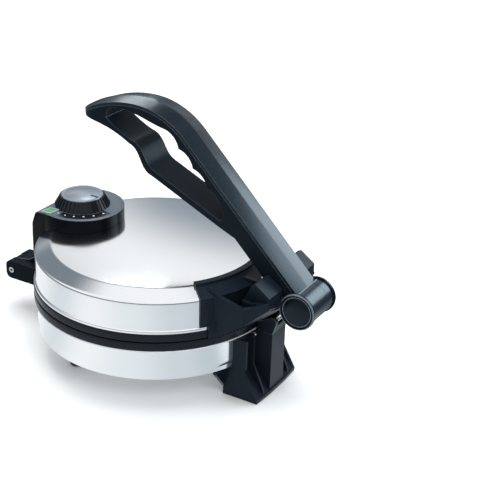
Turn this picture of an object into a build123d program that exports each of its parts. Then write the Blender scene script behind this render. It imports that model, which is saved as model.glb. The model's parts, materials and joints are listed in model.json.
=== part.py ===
"""Electric roti maker: a round two-plate griddle with a hinged lid, a press handle and a dial.

Axes: +Z up, -Y towards the cook (the press handle's pivot), +Y towards the rear hinge.
The origin lies on the table, under the middle of the cooker's front-to-back reach.
All sizes are in millimetres.
"""

import math
import os

from build123d import *

os.makedirs("parts", exist_ok=True)

# ---------------------------------------------------------------- driving dimensions
# Heights above the table, each from the one it rests on
pan_z = 30.5                 # underside of the bottom cover
cover_base_t = 1.5
shell_z = pan_z + cover_base_t
ring_z = 65.0                # underside of the lower ring
ring_h = 8.4                 # height of each plastic ring
ring_gap = 0.9               # dark line between the two rings
lid_wall_h = 49.0            # from the lower ring's underside to the lid's shoulder
band_h = 7.4                 # the lid's sloping band
dome_h = 2.6                 # the lid's slightly domed disc
shoulder_z = ring_z + lid_wall_h
crease_z = shoulder_z + band_h
crown_z = crease_z + dome_h

# Radii about the cooker's axis, each set in from the rings
ring_r = 121.0
shell_inset = 3.0
lid_inset = 2.0
flange_inset = 0.7
rim_inset = 1.0
crease_inset = 17.4
plate_inset = 17.0
shell_r = ring_r - shell_inset
shell_rim_r = ring_r - rim_inset
lid_r = ring_r - lid_inset
flange_r = ring_r - flange_inset
crease_r = ring_r - crease_inset
plate_r = ring_r - plate_inset
shell_round = 10.0
sheet = 1.0                  # thickness of the stainless covers
fit = 0.2                    # clearance between fixed parts that follow a curve
run = 0.05                   # radial clearance of a pin in its bore

# Heating plates
plate_h = 8.0
plate_proud = 0.2            # plate face above the lower ring
plate_gap = 0.4              # closed gap between the two plate faces
element_inset = 36.0         # the element's circle, in from the plate's edge
element_r = plate_r - element_inset
sheath_r = 3.25

# Rear hinge
pin_out = 52.5               # the pin's axis beyond the rings
pin_drop = 19.0              # and below them
pin_y = ring_r + pin_out
pin_z = ring_z - pin_drop
pin_r = 3.0
pin_bore_r = 1.7
ear_h = 20.0
ear_in = 6.5
ear_out = 17.0
ear_end = 7.5                # from the pin to the ears' rear face
lug_w = 12.0
lug_boss_r = 9.5

# Press handle
hub_out = 47.0               # the pivot beyond the rings
hub_rise = 36.0              # and above the lower ring's underside
hub_y = -(ring_r + hub_out)
hub_z = ring_z + hub_rise
hub_r = 16.5
cap_r = 18.0
hub_half = 20.0
cap_t = 3.0
arm_half_w = 18.0
arm_half_d = 11.2
shaft_r = 4.0
tongue_half = 9.0
cover_t = 3.0
cover_crown = 2.4

# Dial
dial_inset = 30.5            # the dial's axis, in from the rings' edge
dial_rise = 13.0             # the dial plate above the lid's crown
dial_y = ring_r - dial_inset
dial_r = 42.0
dial_top_z = crown_z + dial_rise
dial_skin = 2.4
knob_r = 28.0
knob_top_r = 22.5
knob_h = 9.6
knob_gap = 0.6

# The cooker's axis stands a little behind the middle of its reach
front_reach = hub_y - cap_r
rear_reach = pin_y + ear_end
shell_y = -(front_reach + rear_reach) / 2

# ---------------------------------------------------------------- work planes
deck = Plane((0, shell_y, 0))
flank = Plane(origin=(0, shell_y, 0), x_dir=(0, 1, 0), z_dir=(1, 0, 0))
face = Plane(origin=(0, shell_y, 0), x_dir=(1, 0, 0), z_dir=(0, -1, 0))
spin_axis = Axis((0, shell_y, 0), (0, 0, 1))


def at_height(z):
    """A plane parallel to the table, centred on the cooker's axis."""
    return deck.offset(z)


def radial(angle):
    """A plane through the cooker's axis: x runs outwards at this angle, y runs up."""
    a = math.radians(angle)
    outwards = (math.cos(a), math.sin(a), 0)
    across = (math.sin(a), -math.cos(a), 0)
    return Plane(origin=(0, shell_y, 0), x_dir=outwards, z_dir=across)


def ahead(distance):
    """Y of a point this far in front of the rings' edge; below zero it lies behind the edge."""
    return -(ring_r + distance)


def both_sides(points):
    """Close a plan outline: the half given and its mirror image across the middle."""
    return points + [(-x, y) for x, y in reversed(points)]


# ---------------------------------------------------------------- derived heights
ring_top_z = ring_z + ring_h
upper_ring_z = ring_top_z + ring_gap
upper_ring_top_z = upper_ring_z + ring_h
lower_face_z = ring_top_z + plate_proud
upper_face_z = lower_face_z + plate_gap

# ================================================================ BASE
# Where the inlet's bushing passes through the shell's wall
gland_angle = 62.0
gland_z = ring_z - 15.0
gland_r = 6.8
gland_flange_r = 9.5
gland_flange_t = 2.0
gland_bore_r = 3.6
gland_tail = 6.0
gland_seat = gland_flange_r**2 / (2 * shell_r) + fit
gland_turn = math.radians(gland_angle)
gland_out = (math.cos(gland_turn), math.sin(gland_turn), 0)
gland_in_r = shell_r - gland_tail
gland_plane = Plane(
    origin=(gland_in_r * gland_out[0], shell_y + gland_in_r * gland_out[1], gland_z),
    x_dir=(-gland_out[1], gland_out[0], 0),
    z_dir=gland_out,
)

# Stainless lower shell: a straight wall, a round bottom edge and a rim under the ring
shell_rim_h = 1.2
shell_lip = 9.0              # the floor that is left beyond the rounded edge
shell_floor_r = shell_r - shell_round - shell_lip
with BuildPart() as lower_shell:
    with BuildSketch(face) as wall:
        with BuildLine():
            Polyline(
                (0, shell_z),
                (shell_r, shell_z),
                (shell_r, ring_z - shell_rim_h),
                (0, ring_z - shell_rim_h),
                close=True,
            )
        make_face()
        fillet(wall.vertices().sort_by(Axis.X)[-2:].sort_by(Axis.Y)[:1], shell_round)
    revolve(axis=spin_axis)
    offset(amount=-sheet, openings=lower_shell.faces().sort_by(Axis.Z)[-1])
    with BuildSketch(at_height(ring_z - shell_rim_h)):
        Circle(shell_rim_r)
        Circle(shell_r - sheet, mode=Mode.SUBTRACT)
    extrude(amount=shell_rim_h)
    with BuildSketch(at_height(shell_z)):
        Circle(shell_floor_r)
    extrude(amount=sheet, mode=Mode.SUBTRACT)
    with BuildSketch(gland_plane):
        Circle(gland_r + fit)
    extrude(amount=2 * gland_tail, mode=Mode.SUBTRACT)
lower_shell.part.label = "lower_shell"
export_step(lower_shell.part, "parts/lower_shell.step")

# The space that the lower shell and its bottom cover fill, for the brackets that hug them
cover_lap = 8.0              # the bottom cover over the shell's floor
cover_h = 10.0
cover_r = shell_floor_r + cover_lap
with BuildPart() as shell_form:
    with BuildSketch(face) as hug:
        with BuildLine():
            Polyline(
                (0, shell_z - fit),
                (shell_r + fit, shell_z - fit),
                (shell_r + fit, ring_z - shell_rim_h - fit),
                (shell_rim_r + fit, ring_z - shell_rim_h - fit),
                (shell_rim_r + fit, ring_z),
                (0, ring_z),
                close=True,
            )
        make_face()
        fillet(hug.vertices().sort_by(Axis.Y)[:2].sort_by(Axis.X)[-1:], shell_round)
        with Locations((0, pan_z - fit)):
            Rectangle(cover_r + fit, cover_h, align=(Align.MIN, Align.MIN))
    revolve(axis=spin_axis)

# Bottom cover: a flat pan with a ring of cooling slots
slot_count = 12
slot_len = 26.0
slot_w = 4.0
slot_ring_r = 40.0
with BuildPart() as bottom_cover:
    with BuildSketch(at_height(pan_z)):
        Circle(cover_r)
        with PolarLocations(slot_ring_r, slot_count):
            SlotOverall(slot_len, slot_w, mode=Mode.SUBTRACT)
    extrude(amount=cover_base_t)
bottom_cover.part.label = "bottom_cover"
export_step(bottom_cover.part, "parts/bottom_cover.step")

# Rear feet: tapered posts under the bottom cover, each with a rubber pad
pad_h = 5.0
post_r = 8.0
post_tip_r = 6.5
pad_r = 7.0
side_foot_r = shell_r - 32.8
side_foot_turn = math.radians(33.4)
side_foot = (side_foot_r * math.cos(side_foot_turn), side_foot_r * math.sin(side_foot_turn))
foot_spots = [(-side_foot[0], side_foot[1]), side_foot, (0, shell_r - 26)]
with BuildPart() as rear_feet:
    for x, y in foot_spots:
        with BuildSketch(at_height(pad_h)):
            with Locations((x, y)):
                Circle(post_tip_r)
        with BuildSketch(at_height(pan_z)):
            with Locations((x, y)):
                Circle(post_r)
        loft()
rear_feet.part.label = "rear_feet"
export_step(rear_feet.part, "parts/rear_feet.step")

with BuildPart() as foot_pads:
    with BuildSketch(deck):
        with Locations(foot_spots):
            Circle(pad_r)
    extrude(amount=pad_h)
    chamfer(foot_pads.edges().group_by(Axis.Z)[0], 1.2)
foot_pads.part.label = "foot_pads"
export_step(foot_pads.part, "parts/foot_pads.step")

# Lower ring: the grey plastic ring, with a seat for the plate and a skirt inside the shell
ring_round = 1.8
plate_side_gap = 0.5
seat_w = 5.0
seat_t = 3.0
skirt_t = 2.2
skirt_h = 7.0
lower_seat_z = lower_face_z - plate_h
ring_in_r = plate_r + plate_side_gap
seat_in_r = ring_in_r - seat_w
skirt_r = shell_r - sheet - fit
with BuildPart() as lower_ring:
    with BuildSketch(face) as section:
        with BuildLine():
            Polyline(
                (ring_r, ring_z),
                (ring_r, ring_top_z),
                (ring_in_r, ring_top_z),
                (ring_in_r, lower_seat_z),
                (seat_in_r, lower_seat_z),
                (seat_in_r, lower_seat_z - seat_t),
                (skirt_r - skirt_t, lower_seat_z - seat_t),
                (skirt_r - skirt_t, ring_z - skirt_h),
                (skirt_r, ring_z - skirt_h),
                (skirt_r, ring_z),
                close=True,
            )
        make_face()
        fillet(section.vertices().sort_by(Axis.X)[-2:], ring_round)
    revolve(axis=spin_axis)
lower_ring.part.label = "lower_ring"
export_step(lower_ring.part, "parts/lower_ring.step")

# Heating plates: flat cast discs with a groove for the element and three stud bosses behind
groove_depth = 2.0
boss_r = 7.0
boss_h = 4.0
stud_inset = 20.0
stud_ring_r = plate_r - stud_inset
stud_count = 3
stud_angle = 30.0
plate_edge = 1.0


def stud_places():
    """The three places of a plate's studs."""
    return PolarLocations(stud_ring_r, stud_count, start_angle=stud_angle)


def terminal_places():
    """The two places where an element ends, either side of the middle of the front."""
    return PolarLocations(element_r, 2, -90 - element_gap / 2, 2 * element_gap)


def plate_body(cook_z, back_z):
    """A heating plate between its cooking face and its back, in the active part."""
    up = 1 if back_z > cook_z else -1
    with BuildSketch(at_height(cook_z)) as disc:
        Circle(plate_r)
    extrude(disc.sketch, amount=up * plate_h)
    chamfer(edges().filter_by(GeomType.CIRCLE).sort_by(Axis.Z)[0 if up > 0 else -1], plate_edge)
    with BuildSketch(at_height(back_z)) as bosses:
        with stud_places():
            Circle(boss_r)
    extrude(bosses.sketch, amount=up * boss_h)
    with BuildSketch(face) as groove:
        with Locations((element_r, back_z + up * (sheath_r - groove_depth))):
            Circle(sheath_r + fit)
    revolve(groove.sketch, axis=spin_axis, mode=Mode.SUBTRACT)


def element_body(back_z, up):
    """A sheathed element: most of a ring, its two ends turned away from the plate."""
    ring_level = back_z + up * (sheath_r - groove_depth)
    with BuildSketch(radial(element_gap / 2 - 90)) as sheath:
        with Locations((element_r, ring_level)):
            Circle(sheath_r)
    revolve(sheath.sketch, axis=spin_axis, revolution_arc=360 - element_gap)
    with BuildSketch(at_height(ring_level)) as ends:
        with terminal_places():
            Circle(sheath_r)
    extrude(ends.sketch, amount=up * terminal_len)
    with BuildSketch(at_height(ring_level + up * terminal_len)) as pins:
        with terminal_places():
            Circle(sheath_r / 2)
    extrude(pins.sketch, amount=up * terminal_pin)


element_gap = 24.0
terminal_len = 12.0
terminal_pin = 5.0
with BuildPart() as lower_plate:
    plate_body(lower_face_z, lower_seat_z)
lower_plate.part.label = "lower_plate"
export_step(lower_plate.part, "parts/lower_plate.step")

with BuildPart() as lower_element:
    element_body(lower_seat_z, -1)
lower_element.part.label = "lower_element"
export_step(lower_element.part, "parts/lower_element.step")

# Heat shields: thin aluminium discs behind the elements, held on the studs' shoulders
shield_r = plate_r - 8.0
shield_t = 0.8
shield_gap = 4.0
stud_r = 3.5
stud_shoulder_r = 5.5
terminal_hole_r = 5.0
lower_shield_z = lower_seat_z - boss_h - shield_gap - shield_t


def shield_body(z):
    """A shield disc from this height up, with holes for the studs and the terminals."""
    with BuildSketch(at_height(z)) as disc:
        Circle(shield_r)
        with stud_places():
            Circle(stud_r + fit, mode=Mode.SUBTRACT)
        with terminal_places():
            Circle(terminal_hole_r, mode=Mode.SUBTRACT)
    extrude(disc.sketch, amount=shield_t)


def stud_body(plate_z, shoulder_level, end_z):
    """Three stepped studs from the plate's bosses past the shield's shoulder to their end."""
    with BuildSketch(at_height(plate_z)) as thin:
        with stud_places():
            Circle(stud_r)
    extrude(thin.sketch, amount=shoulder_level - plate_z)
    with BuildSketch(at_height(shoulder_level)) as thick:
        with stud_places():
            Circle(stud_shoulder_r)
    extrude(thick.sketch, amount=end_z - shoulder_level)


with BuildPart() as lower_heat_shield:
    shield_body(lower_shield_z)
lower_heat_shield.part.label = "lower_heat_shield"
export_step(lower_heat_shield.part, "parts/lower_heat_shield.step")

with BuildPart() as lower_plate_studs:
    stud_body(lower_seat_z - boss_h, lower_shield_z, shell_z)
lower_plate_studs.part.label = "lower_plate_studs"
export_step(lower_plate_studs.part, "parts/lower_plate_studs.step")

# Front bracket: a foot under the shell's front edge and a ribbed pillar up to the ring
bracket_top_z = ring_z - 1.2
bracket_base_t = 3.0
bracket_half = 38.0
bracket_wall = 3.0
spine_half = 13.0
spine_y = ahead(18.5)
rib_in = 23.0
rib_t = 2.2
foot_rear_y = ahead(-19)
foot_side_y = ahead(18.5)
foot_front_y = ahead(20)
pillar_y = ahead(5)
flare_x = 54.0
flare_top_z = pan_z
flare_low_z = 8.0
flare_t = 4.0
back_plate_t = 3.0
with BuildPart() as front_bracket:
    # Base plate on the table
    with BuildSketch(deck):
        with BuildLine():
            sides = [(bracket_half, foot_rear_y), (bracket_half - 1, foot_side_y)]
            half = sides + [(spine_half + 1, foot_front_y)]
            Polyline(*both_sides(half), close=True)
        make_face()
    extrude(amount=bracket_base_t)
    # Side walls
    with BuildSketch(flank.offset(bracket_half - bracket_wall)):
        with BuildLine():
            Polyline(
                (foot_rear_y, 0),
                (foot_side_y, 0),
                (foot_side_y, bracket_base_t),
                (ahead(3), pan_z - 0.5),
                (pillar_y, pan_z + 2.5),
                (pillar_y, bracket_top_z),
                (ahead(-16), bracket_top_z),
                (ahead(-21), flare_top_z),
                (foot_rear_y, flare_low_z + 1),
                close=True,
            )
        make_face()
    extrude(amount=bracket_wall)
    # Ribs either side of the spine
    with BuildSketch(flank.offset(rib_in)):
        with BuildLine():
            Polyline(
                (ahead(-9), bracket_top_z),
                (ahead(6), bracket_top_z),
                (ahead(6), pan_z + 4.5),
                (ahead(18), flare_low_z),
                (ahead(18), 0),
                (ahead(-1), 0),
                (ahead(-9), flare_top_z),
                close=True,
            )
        make_face()
    extrude(amount=rib_t)
    # Flare under the shell
    with BuildSketch(face.offset(-foot_rear_y - flare_t / 2)):
        with BuildLine():
            Polyline(
                (bracket_half - 1, flare_low_z),
                (flare_x, flare_top_z - 2),
                (flare_x, flare_top_z),
                (bracket_half - 1, flare_top_z),
                close=True,
            )
        make_face()
    extrude(amount=flare_t)
    mirror(about=flank)
    # Spine
    with BuildSketch(flank):
        with BuildLine():
            Polyline(
                (ahead(-9), bracket_top_z),
                (spine_y, bracket_top_z),
                (spine_y, bracket_base_t),
                (foot_front_y, 0),
                (ahead(3), 0),
                (ahead(-9), flare_top_z),
                close=True,
            )
        make_face()
    extrude(amount=spine_half, both=True)
    # Sloping web between the walls, and the plate that hugs the shell
    with BuildSketch(flank):
        with BuildLine():
            Polyline(
                (ahead(-4), pan_z + 1.5),
                (foot_side_y, bracket_base_t),
                (foot_side_y, 0),
                (foot_side_y + 4, 0),
                (ahead(-8), pan_z - 1.5),
                close=True,
            )
        make_face()
    extrude(amount=bracket_half - 1, both=True)
    with BuildSketch(at_height(shell_z - back_plate_t)):
        Circle(shell_r + fit + back_plate_t)
        Circle(shell_r - shell_round, mode=Mode.SUBTRACT)
        with Locations((0, -shell_r)):
            Rectangle(2 * bracket_half - 2, shell_r / 2, mode=Mode.INTERSECT)
    extrude(amount=bracket_top_z - shell_z + back_plate_t)
    add(shell_form.part, mode=Mode.SUBTRACT)
front_bracket.part.label = "front_bracket"
export_step(front_bracket.part, "parts/front_bracket.step")

# Catch block: a neck on the bracket's spine, with a steel bar across its top
neck_rear_y = ahead(2.5)
neck_z = ring_top_z + 0.6
catch_y = ahead(17.5)
catch_z = ring_top_z + 3.8
catch_bar_r = 3.0
catch_ear_t = 4.0
catch_bar_half = spine_half - 1.5
catch_round = 4.5
with BuildPart() as catch_block:
    with BuildSketch(flank):
        with BuildLine():
            Polyline(
                (neck_rear_y, bracket_top_z),
                (spine_y, bracket_top_z),
                (spine_y - 4, catch_z),
                (catch_y, catch_z + catch_round),
                (neck_rear_y, neck_z),
                close=True,
            )
        make_face()
        with Locations((catch_y, catch_z)):
            Circle(catch_round)
    extrude(amount=spine_half, both=True)
    with BuildSketch(flank):
        with Locations((catch_y, catch_z)):
            Rectangle(6 * catch_round, 2 * catch_round + 1)
    extrude(amount=spine_half - catch_ear_t, both=True, mode=Mode.SUBTRACT)
    with BuildSketch(flank):
        with Locations((catch_y, catch_z)):
            Circle(catch_bar_r)
    extrude(amount=catch_bar_half, both=True, mode=Mode.SUBTRACT)
catch_block.part.label = "catch_block"
export_step(catch_block.part, "parts/catch_block.step")

with BuildPart() as catch_bar:
    with BuildSketch(flank):
        with Locations((catch_y, catch_z)):
            Circle(catch_bar_r)
    extrude(amount=catch_bar_half, both=True)
    chamfer(catch_bar.edges().filter_by(GeomType.CIRCLE), 0.4)
catch_bar.part.label = "catch_bar"
export_step(catch_bar.part, "parts/catch_bar.step")

# Front bracket screws: small pan heads on the pillar's top
screw_spots = [(-20.5, ahead(3.5)), (20.5, ahead(3.5))]
small_head_r = 2.2
small_head_h = 1.6
small_soft = 0.5
small_hole_r = 1.0
screw_head_r = 3.2
screw_head_h = 2.0
screw_hole_r = 1.2
screw_hole_h = 1.2
screw_soft = 0.8
with BuildPart() as front_bracket_screws:
    with BuildSketch(at_height(bracket_top_z)):
        with Locations(screw_spots):
            Circle(small_head_r)
    extrude(amount=small_head_h)
    chamfer(front_bracket_screws.edges().group_by(Axis.Z)[-1], small_soft)
    with BuildSketch(at_height(bracket_top_z + small_head_h)):
        with Locations(screw_spots):
            RegularPolygon(small_hole_r, 6)
    extrude(amount=-small_head_h / 2, mode=Mode.SUBTRACT)
front_bracket_screws.part.label = "front_bracket_screws"
export_step(front_bracket_screws.part, "parts/front_bracket_screws.step")

# Rear hinge bracket: a plate that hugs the shell's rear and two ears that hold the pin
ear_z = pin_z - ear_h / 2
ear_top_z = pin_z + ear_h / 2
ear_round = 6.0
rear_plate_y = ring_r + 3.0
rear_plate_in_y = ring_r - 21.0
rear_plate_half = 24.0
rear_plate_z = ring_z - 3.0
ear_web_y = rear_plate_y + 17.0
ear_web_t = 4.0
with BuildPart() as rear_hinge_bracket:
    with BuildSketch(at_height(ear_z)):
        with Locations((0, (rear_plate_y + rear_plate_in_y) / 2)):
            Rectangle(2 * rear_plate_half, rear_plate_y - rear_plate_in_y)
    extrude(amount=rear_plate_z - ear_z)
    fillet(rear_hinge_bracket.edges().filter_by(Axis.Y).group_by(Axis.Z)[-1], 3)
    with BuildSketch(flank.offset(ear_in)) as ear:
        with BuildLine():
            Polyline(
                (rear_plate_y - 4, ear_z),
                (pin_y + ear_end, ear_z),
                (pin_y + ear_end, ear_top_z),
                (rear_plate_y + 16, ear_top_z),
                (rear_plate_y, rear_plate_z - 2),
                (rear_plate_y - 4, rear_plate_z - 2),
                close=True,
            )
        make_face()
        fillet(ear.vertices().sort_by(Axis.X)[-2:], ear_round)
    extrude(amount=ear_out - ear_in)
    mirror(about=flank)
    with BuildSketch(at_height(ear_z)):
        with Locations((0, (rear_plate_y + ear_web_y) / 2)):
            Rectangle(2 * ear_in + 1, ear_web_y - rear_plate_y + 1)
    extrude(amount=ear_web_t)
    with BuildSketch(flank):
        with Locations((pin_y, pin_z)):
            Circle(pin_r)
    extrude(amount=ear_out, both=True, mode=Mode.SUBTRACT)
    add(shell_form.part, mode=Mode.SUBTRACT)
rear_hinge_bracket.part.label = "rear_hinge_bracket"
export_step(rear_hinge_bracket.part, "parts/rear_hinge_bracket.step")

pin_end = 0.6
with BuildPart() as hinge_pin:
    with BuildSketch(flank):
        with Locations((pin_y, pin_z)):
            Circle(pin_r)
            Circle(pin_bore_r, mode=Mode.SUBTRACT)
    extrude(amount=ear_out + pin_end, both=True)
hinge_pin.part.label = "hinge_pin"
export_step(hinge_pin.part, "parts/hinge_pin.step")

rear_screw_x = 20.5
rear_screw_z = rear_plate_z - 13.5
rear_screw_pitch = 13.0
with BuildPart() as rear_bracket_screws:
    with BuildSketch(face.offset(-rear_plate_y)):
        with Locations((0, rear_screw_z)):
            with GridLocations(2 * rear_screw_x, rear_screw_pitch, 2, 2):
                Circle(screw_head_r)
    extrude(amount=-screw_head_h)
    chamfer(rear_bracket_screws.edges().group_by(Axis.Y)[-1], screw_soft)
rear_bracket_screws.part.label = "rear_bracket_screws"
export_step(rear_bracket_screws.part, "parts/rear_bracket_screws.step")

# Inlet bushing in the shell's wall, its flange outside
with BuildPart() as cord_gland:
    with BuildSketch(gland_plane):
        Circle(gland_r)
    extrude(amount=gland_tail + gland_seat)
    with BuildSketch(gland_plane.offset(gland_tail + gland_seat)):
        Circle(gland_flange_r)
    extrude(amount=gland_flange_t, taper=15)
    with BuildSketch(gland_plane):
        Circle(gland_bore_r)
    extrude(amount=2 * gland_tail, mode=Mode.SUBTRACT)
cord_gland.part.label = "cord_gland"
export_step(cord_gland.part, "parts/cord_gland.step")

block_len = 30.0
block_w = 14.0
block_h = 10.0
block_spot = (40, 60)
block_hole_r = 1.6
with BuildPart() as terminal_block:
    with BuildSketch(at_height(shell_z)):
        with Locations(block_spot):
            Rectangle(block_len, block_w)
    extrude(amount=block_h)
    with BuildSketch(at_height(shell_z + block_h)):
        with Locations(block_spot):
            with GridLocations(block_len / 3, block_w / 2, 3, 2):
                Circle(block_hole_r)
    extrude(amount=-block_h / 2, mode=Mode.SUBTRACT)
terminal_block.part.label = "terminal_block"
export_step(terminal_block.part, "parts/terminal_block.step")

# ================================================================ LID
# The lid's outer form: flange, wall, rounded shoulder, sloping band, crease and dome
flange_t = 2.5
flange_step = 0.8
shoulder_round = 4.0
lid_draft = 0.3
dome_r = (crease_r**2 + (crown_z - crease_z) ** 2) / (2 * (crown_z - crease_z))
dome_angle = math.degrees(math.asin(crease_r / dome_r))


def lid_section():
    """Draw the lid's outer profile, closed down to the upper ring's top."""
    Polyline(
        (0, crown_z),
        (0, upper_ring_top_z),
        (flange_r, upper_ring_top_z),
        (flange_r, upper_ring_top_z + flange_t),
        (lid_r, upper_ring_top_z + flange_t + flange_step),
        (lid_r - lid_draft, shoulder_z),
        (crease_r, crease_z),
    )
    CenterArc((0, crown_z - dome_r), dome_r, 90 - dome_angle, dome_angle)


with BuildPart() as lid_form:
    with BuildSketch(face) as hug:
        with BuildLine():
            lid_section()
        make_face()
        offset(amount=fit, kind=Kind.INTERSECTION)
        with Locations((0, ring_z)):
            Rectangle(ring_r + fit, upper_ring_top_z + fit - ring_z, align=(Align.MIN, Align.MIN))
        with Locations((0, 0)):
            Rectangle(4 * fit, 2 * crown_z, align=(Align.MAX, Align.MIN), mode=Mode.SUBTRACT)
    revolve(axis=spin_axis)

shaft_hole_r = 7.0
with BuildPart() as lid_cover:
    with BuildSketch(face) as skin:
        with BuildLine():
            lid_section()
        make_face()
        fillet(skin.vertices().group_by(Axis.Y)[-3], shoulder_round)
        offset(amount=-sheet, mode=Mode.SUBTRACT)
        with Locations((0, upper_ring_top_z)):
            lid_inner_h = crown_z - sheet - upper_ring_top_z
            Rectangle(flange_r - sheet, 2 * sheet, align=(Align.MIN, Align.MIN), mode=Mode.SUBTRACT)
            Rectangle(2 * sheet, lid_inner_h, align=(Align.MIN, Align.MIN), mode=Mode.SUBTRACT)
    revolve(axis=spin_axis)
    with BuildSketch(at_height(crown_z)):
        with Locations((0, dial_y)):
            Circle(shaft_hole_r)
    extrude(amount=-12, mode=Mode.SUBTRACT)
lid_cover.part.label = "lid_cover"
export_step(lid_cover.part, "parts/lid_cover.step")

# Upper ring: the same plastic ring upside down, its skirt inside the lid cover
upper_seat_z = upper_face_z + plate_h
upper_skirt_r = lid_r - sheet - fit
with BuildPart() as upper_ring:
    with BuildSketch(face) as section:
        with BuildLine():
            Polyline(
                (ring_r, upper_ring_top_z),
                (ring_r, upper_ring_z),
                (ring_in_r, upper_ring_z),
                (ring_in_r, upper_seat_z),
                (seat_in_r, upper_seat_z),
                (seat_in_r, upper_seat_z + seat_t),
                (upper_skirt_r - skirt_t, upper_seat_z + seat_t),
                (upper_skirt_r - skirt_t, upper_ring_top_z + skirt_h),
                (upper_skirt_r - lid_draft, upper_ring_top_z + skirt_h),
                (upper_skirt_r - lid_draft, upper_ring_top_z),
                close=True,
            )
        make_face()
        fillet(section.vertices().sort_by(Axis.X)[-2:], ring_round)
    revolve(axis=spin_axis)
upper_ring.part.label = "upper_ring"
export_step(upper_ring.part, "parts/upper_ring.step")

with BuildPart() as upper_plate:
    plate_body(upper_face_z, upper_seat_z)
upper_plate.part.label = "upper_plate"
export_step(upper_plate.part, "parts/upper_plate.step")

with BuildPart() as upper_element:
    element_body(upper_seat_z, 1)
upper_element.part.label = "upper_element"
export_step(upper_element.part, "parts/upper_element.step")

upper_shield_z = upper_seat_z + boss_h + shield_gap
with BuildPart() as upper_heat_shield:
    shield_body(upper_shield_z)
upper_heat_shield.part.label = "upper_heat_shield"
export_step(upper_heat_shield.part, "parts/upper_heat_shield.step")

dome_drop = (crown_z - crease_z) * ((stud_ring_r + stud_shoulder_r) / crease_r) ** 2
with BuildPart() as upper_plate_studs:
    stud_body(upper_seat_z + boss_h, upper_shield_z + shield_t, crown_z - dome_drop - sheet - fit)
upper_plate_studs.part.label = "upper_plate_studs"
export_step(upper_plate_studs.part, "parts/upper_plate_studs.step")

# Dial housing: a drum on the lid and a leg down its rear wall
leg_z = upper_ring_top_z + 1.3
leg_y = ring_r + 10.0
leg_half = 33.5
leg_round = 6.0
dial_top_y = dial_y + 4.5
dial_brow_y = dial_y + 31.5
dial_brow_z = dial_top_z - 4.0
with BuildPart() as dial_form:
    with BuildSketch(at_height(leg_z)):
        with Locations((0, dial_y)):
            Circle(dial_r)
        with BuildLine():
            Polyline(*both_sides([(dial_r, dial_y), (leg_half, leg_y)]), close=True)
        make_face()
    extrude(amount=dial_top_z - leg_z)
    fillet(dial_form.edges().filter_by(Axis.Z).sort_by(Axis.Y)[-2:], leg_round)
    with BuildSketch(flank) as side:
        with BuildLine():
            Polyline(
                (dial_y - dial_r - 1, leg_z),
                (dial_y - dial_r - 1, dial_top_z),
                (dial_top_y, dial_top_z),
                (dial_brow_y, dial_brow_z),
                (leg_y - 3, shoulder_z + 5),
                (leg_y, leg_z),
                close=True,
            )
        make_face()
        fillet(side.vertices().sort_by(Axis.X)[2:4], 5)
    extrude(amount=dial_r + 1, both=True, mode=Mode.INTERSECT)
    add(lid_form.part, mode=Mode.SUBTRACT)

# The housing's top cover: the round dial plate and the rear brow, down to a stepped parting line
part_z = dial_top_z - dial_skin
part_step_y = dial_y + 9.5
part_step_z = dial_top_z - 10.0
part_end_z = dial_top_z - 24.0
with BuildPart() as cover_zone:
    with BuildSketch(flank):
        with BuildLine():
            Polyline(
                (dial_y - dial_r - 5, part_z),
                (part_step_y, part_z),
                (part_step_y + 3.5, part_step_z),
                (leg_y - 4, part_end_z + 1),
                (leg_y + 5, part_end_z),
                (leg_y + 5, dial_top_z + 5),
                (dial_y - dial_r - 5, dial_top_z + 5),
                close=True,
            )
        make_face()
    extrude(amount=dial_r + 5, both=True)

nose_r = 5.0
with BuildPart() as dial_housing:
    add(dial_form.part)
    add(cover_zone.part, mode=Mode.SUBTRACT)
    with BuildSketch(at_height(lower_face_z)):
        with Locations((0, dial_y)):
            Circle(shaft_hole_r)
    extrude(amount=dial_top_z, mode=Mode.SUBTRACT)
dial_housing.part.label = "dial_housing"
export_step(dial_housing.part, "parts/dial_housing.step")

scale_in_r = knob_r + 0.4
scale_out_r = 38.6
scale_from = 175.0           # the printed arc, between these two angles about the dial
scale_to = 265.0
scale_t = 0.5
rim_in_r = 39.0
rim_drop = 0.8
lens_x = -30.0
lens_y = dial_y + 17.0
lens_w = 10.0
lens_len = 11.5
lens_turn = -math.degrees(math.atan2(dial_r - leg_half, leg_y - dial_y))
lens_slope = (dial_top_z - dial_brow_z) / (dial_brow_y - dial_top_y)
lens_top_z = dial_top_z - lens_slope * (lens_y - dial_top_y)
lens_origin = (lens_x, shell_y + lens_y, lens_top_z)
lens_level = Plane(origin=lens_origin, x_dir=(1, 0, 0), z_dir=(0, lens_slope, 1))
lens_plane = lens_level.rotated((0, 0, lens_turn))
lens_depth = 2.4
lens_proud = 0.7
collar_r = knob_r - 1.0
dial_face = Plane(origin=(0, shell_y + dial_y, dial_top_z), x_dir=(1, 0, 0), z_dir=(0, -1, 0))
dial_axis = Axis((0, shell_y + dial_y, 0), (0, 0, 1))


def scale_face(gap):
    """Draw the printed arc about the dial, this much smaller on its round sides."""
    turns = [math.radians(a) for a in (scale_from, (scale_from + scale_to) / 2, scale_to)]
    reach = 2 * dial_r
    corners = [(reach * math.cos(t), dial_y + reach * math.sin(t)) for t in turns]
    with Locations((0, dial_y)):
        Circle(scale_out_r - gap)
        Circle(scale_in_r + gap, mode=Mode.SUBTRACT)
    with BuildLine() as wedge:
        Polyline((0, dial_y), *corners, close=True)
    make_face(wedge.edges(), mode=Mode.INTERSECT)


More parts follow.
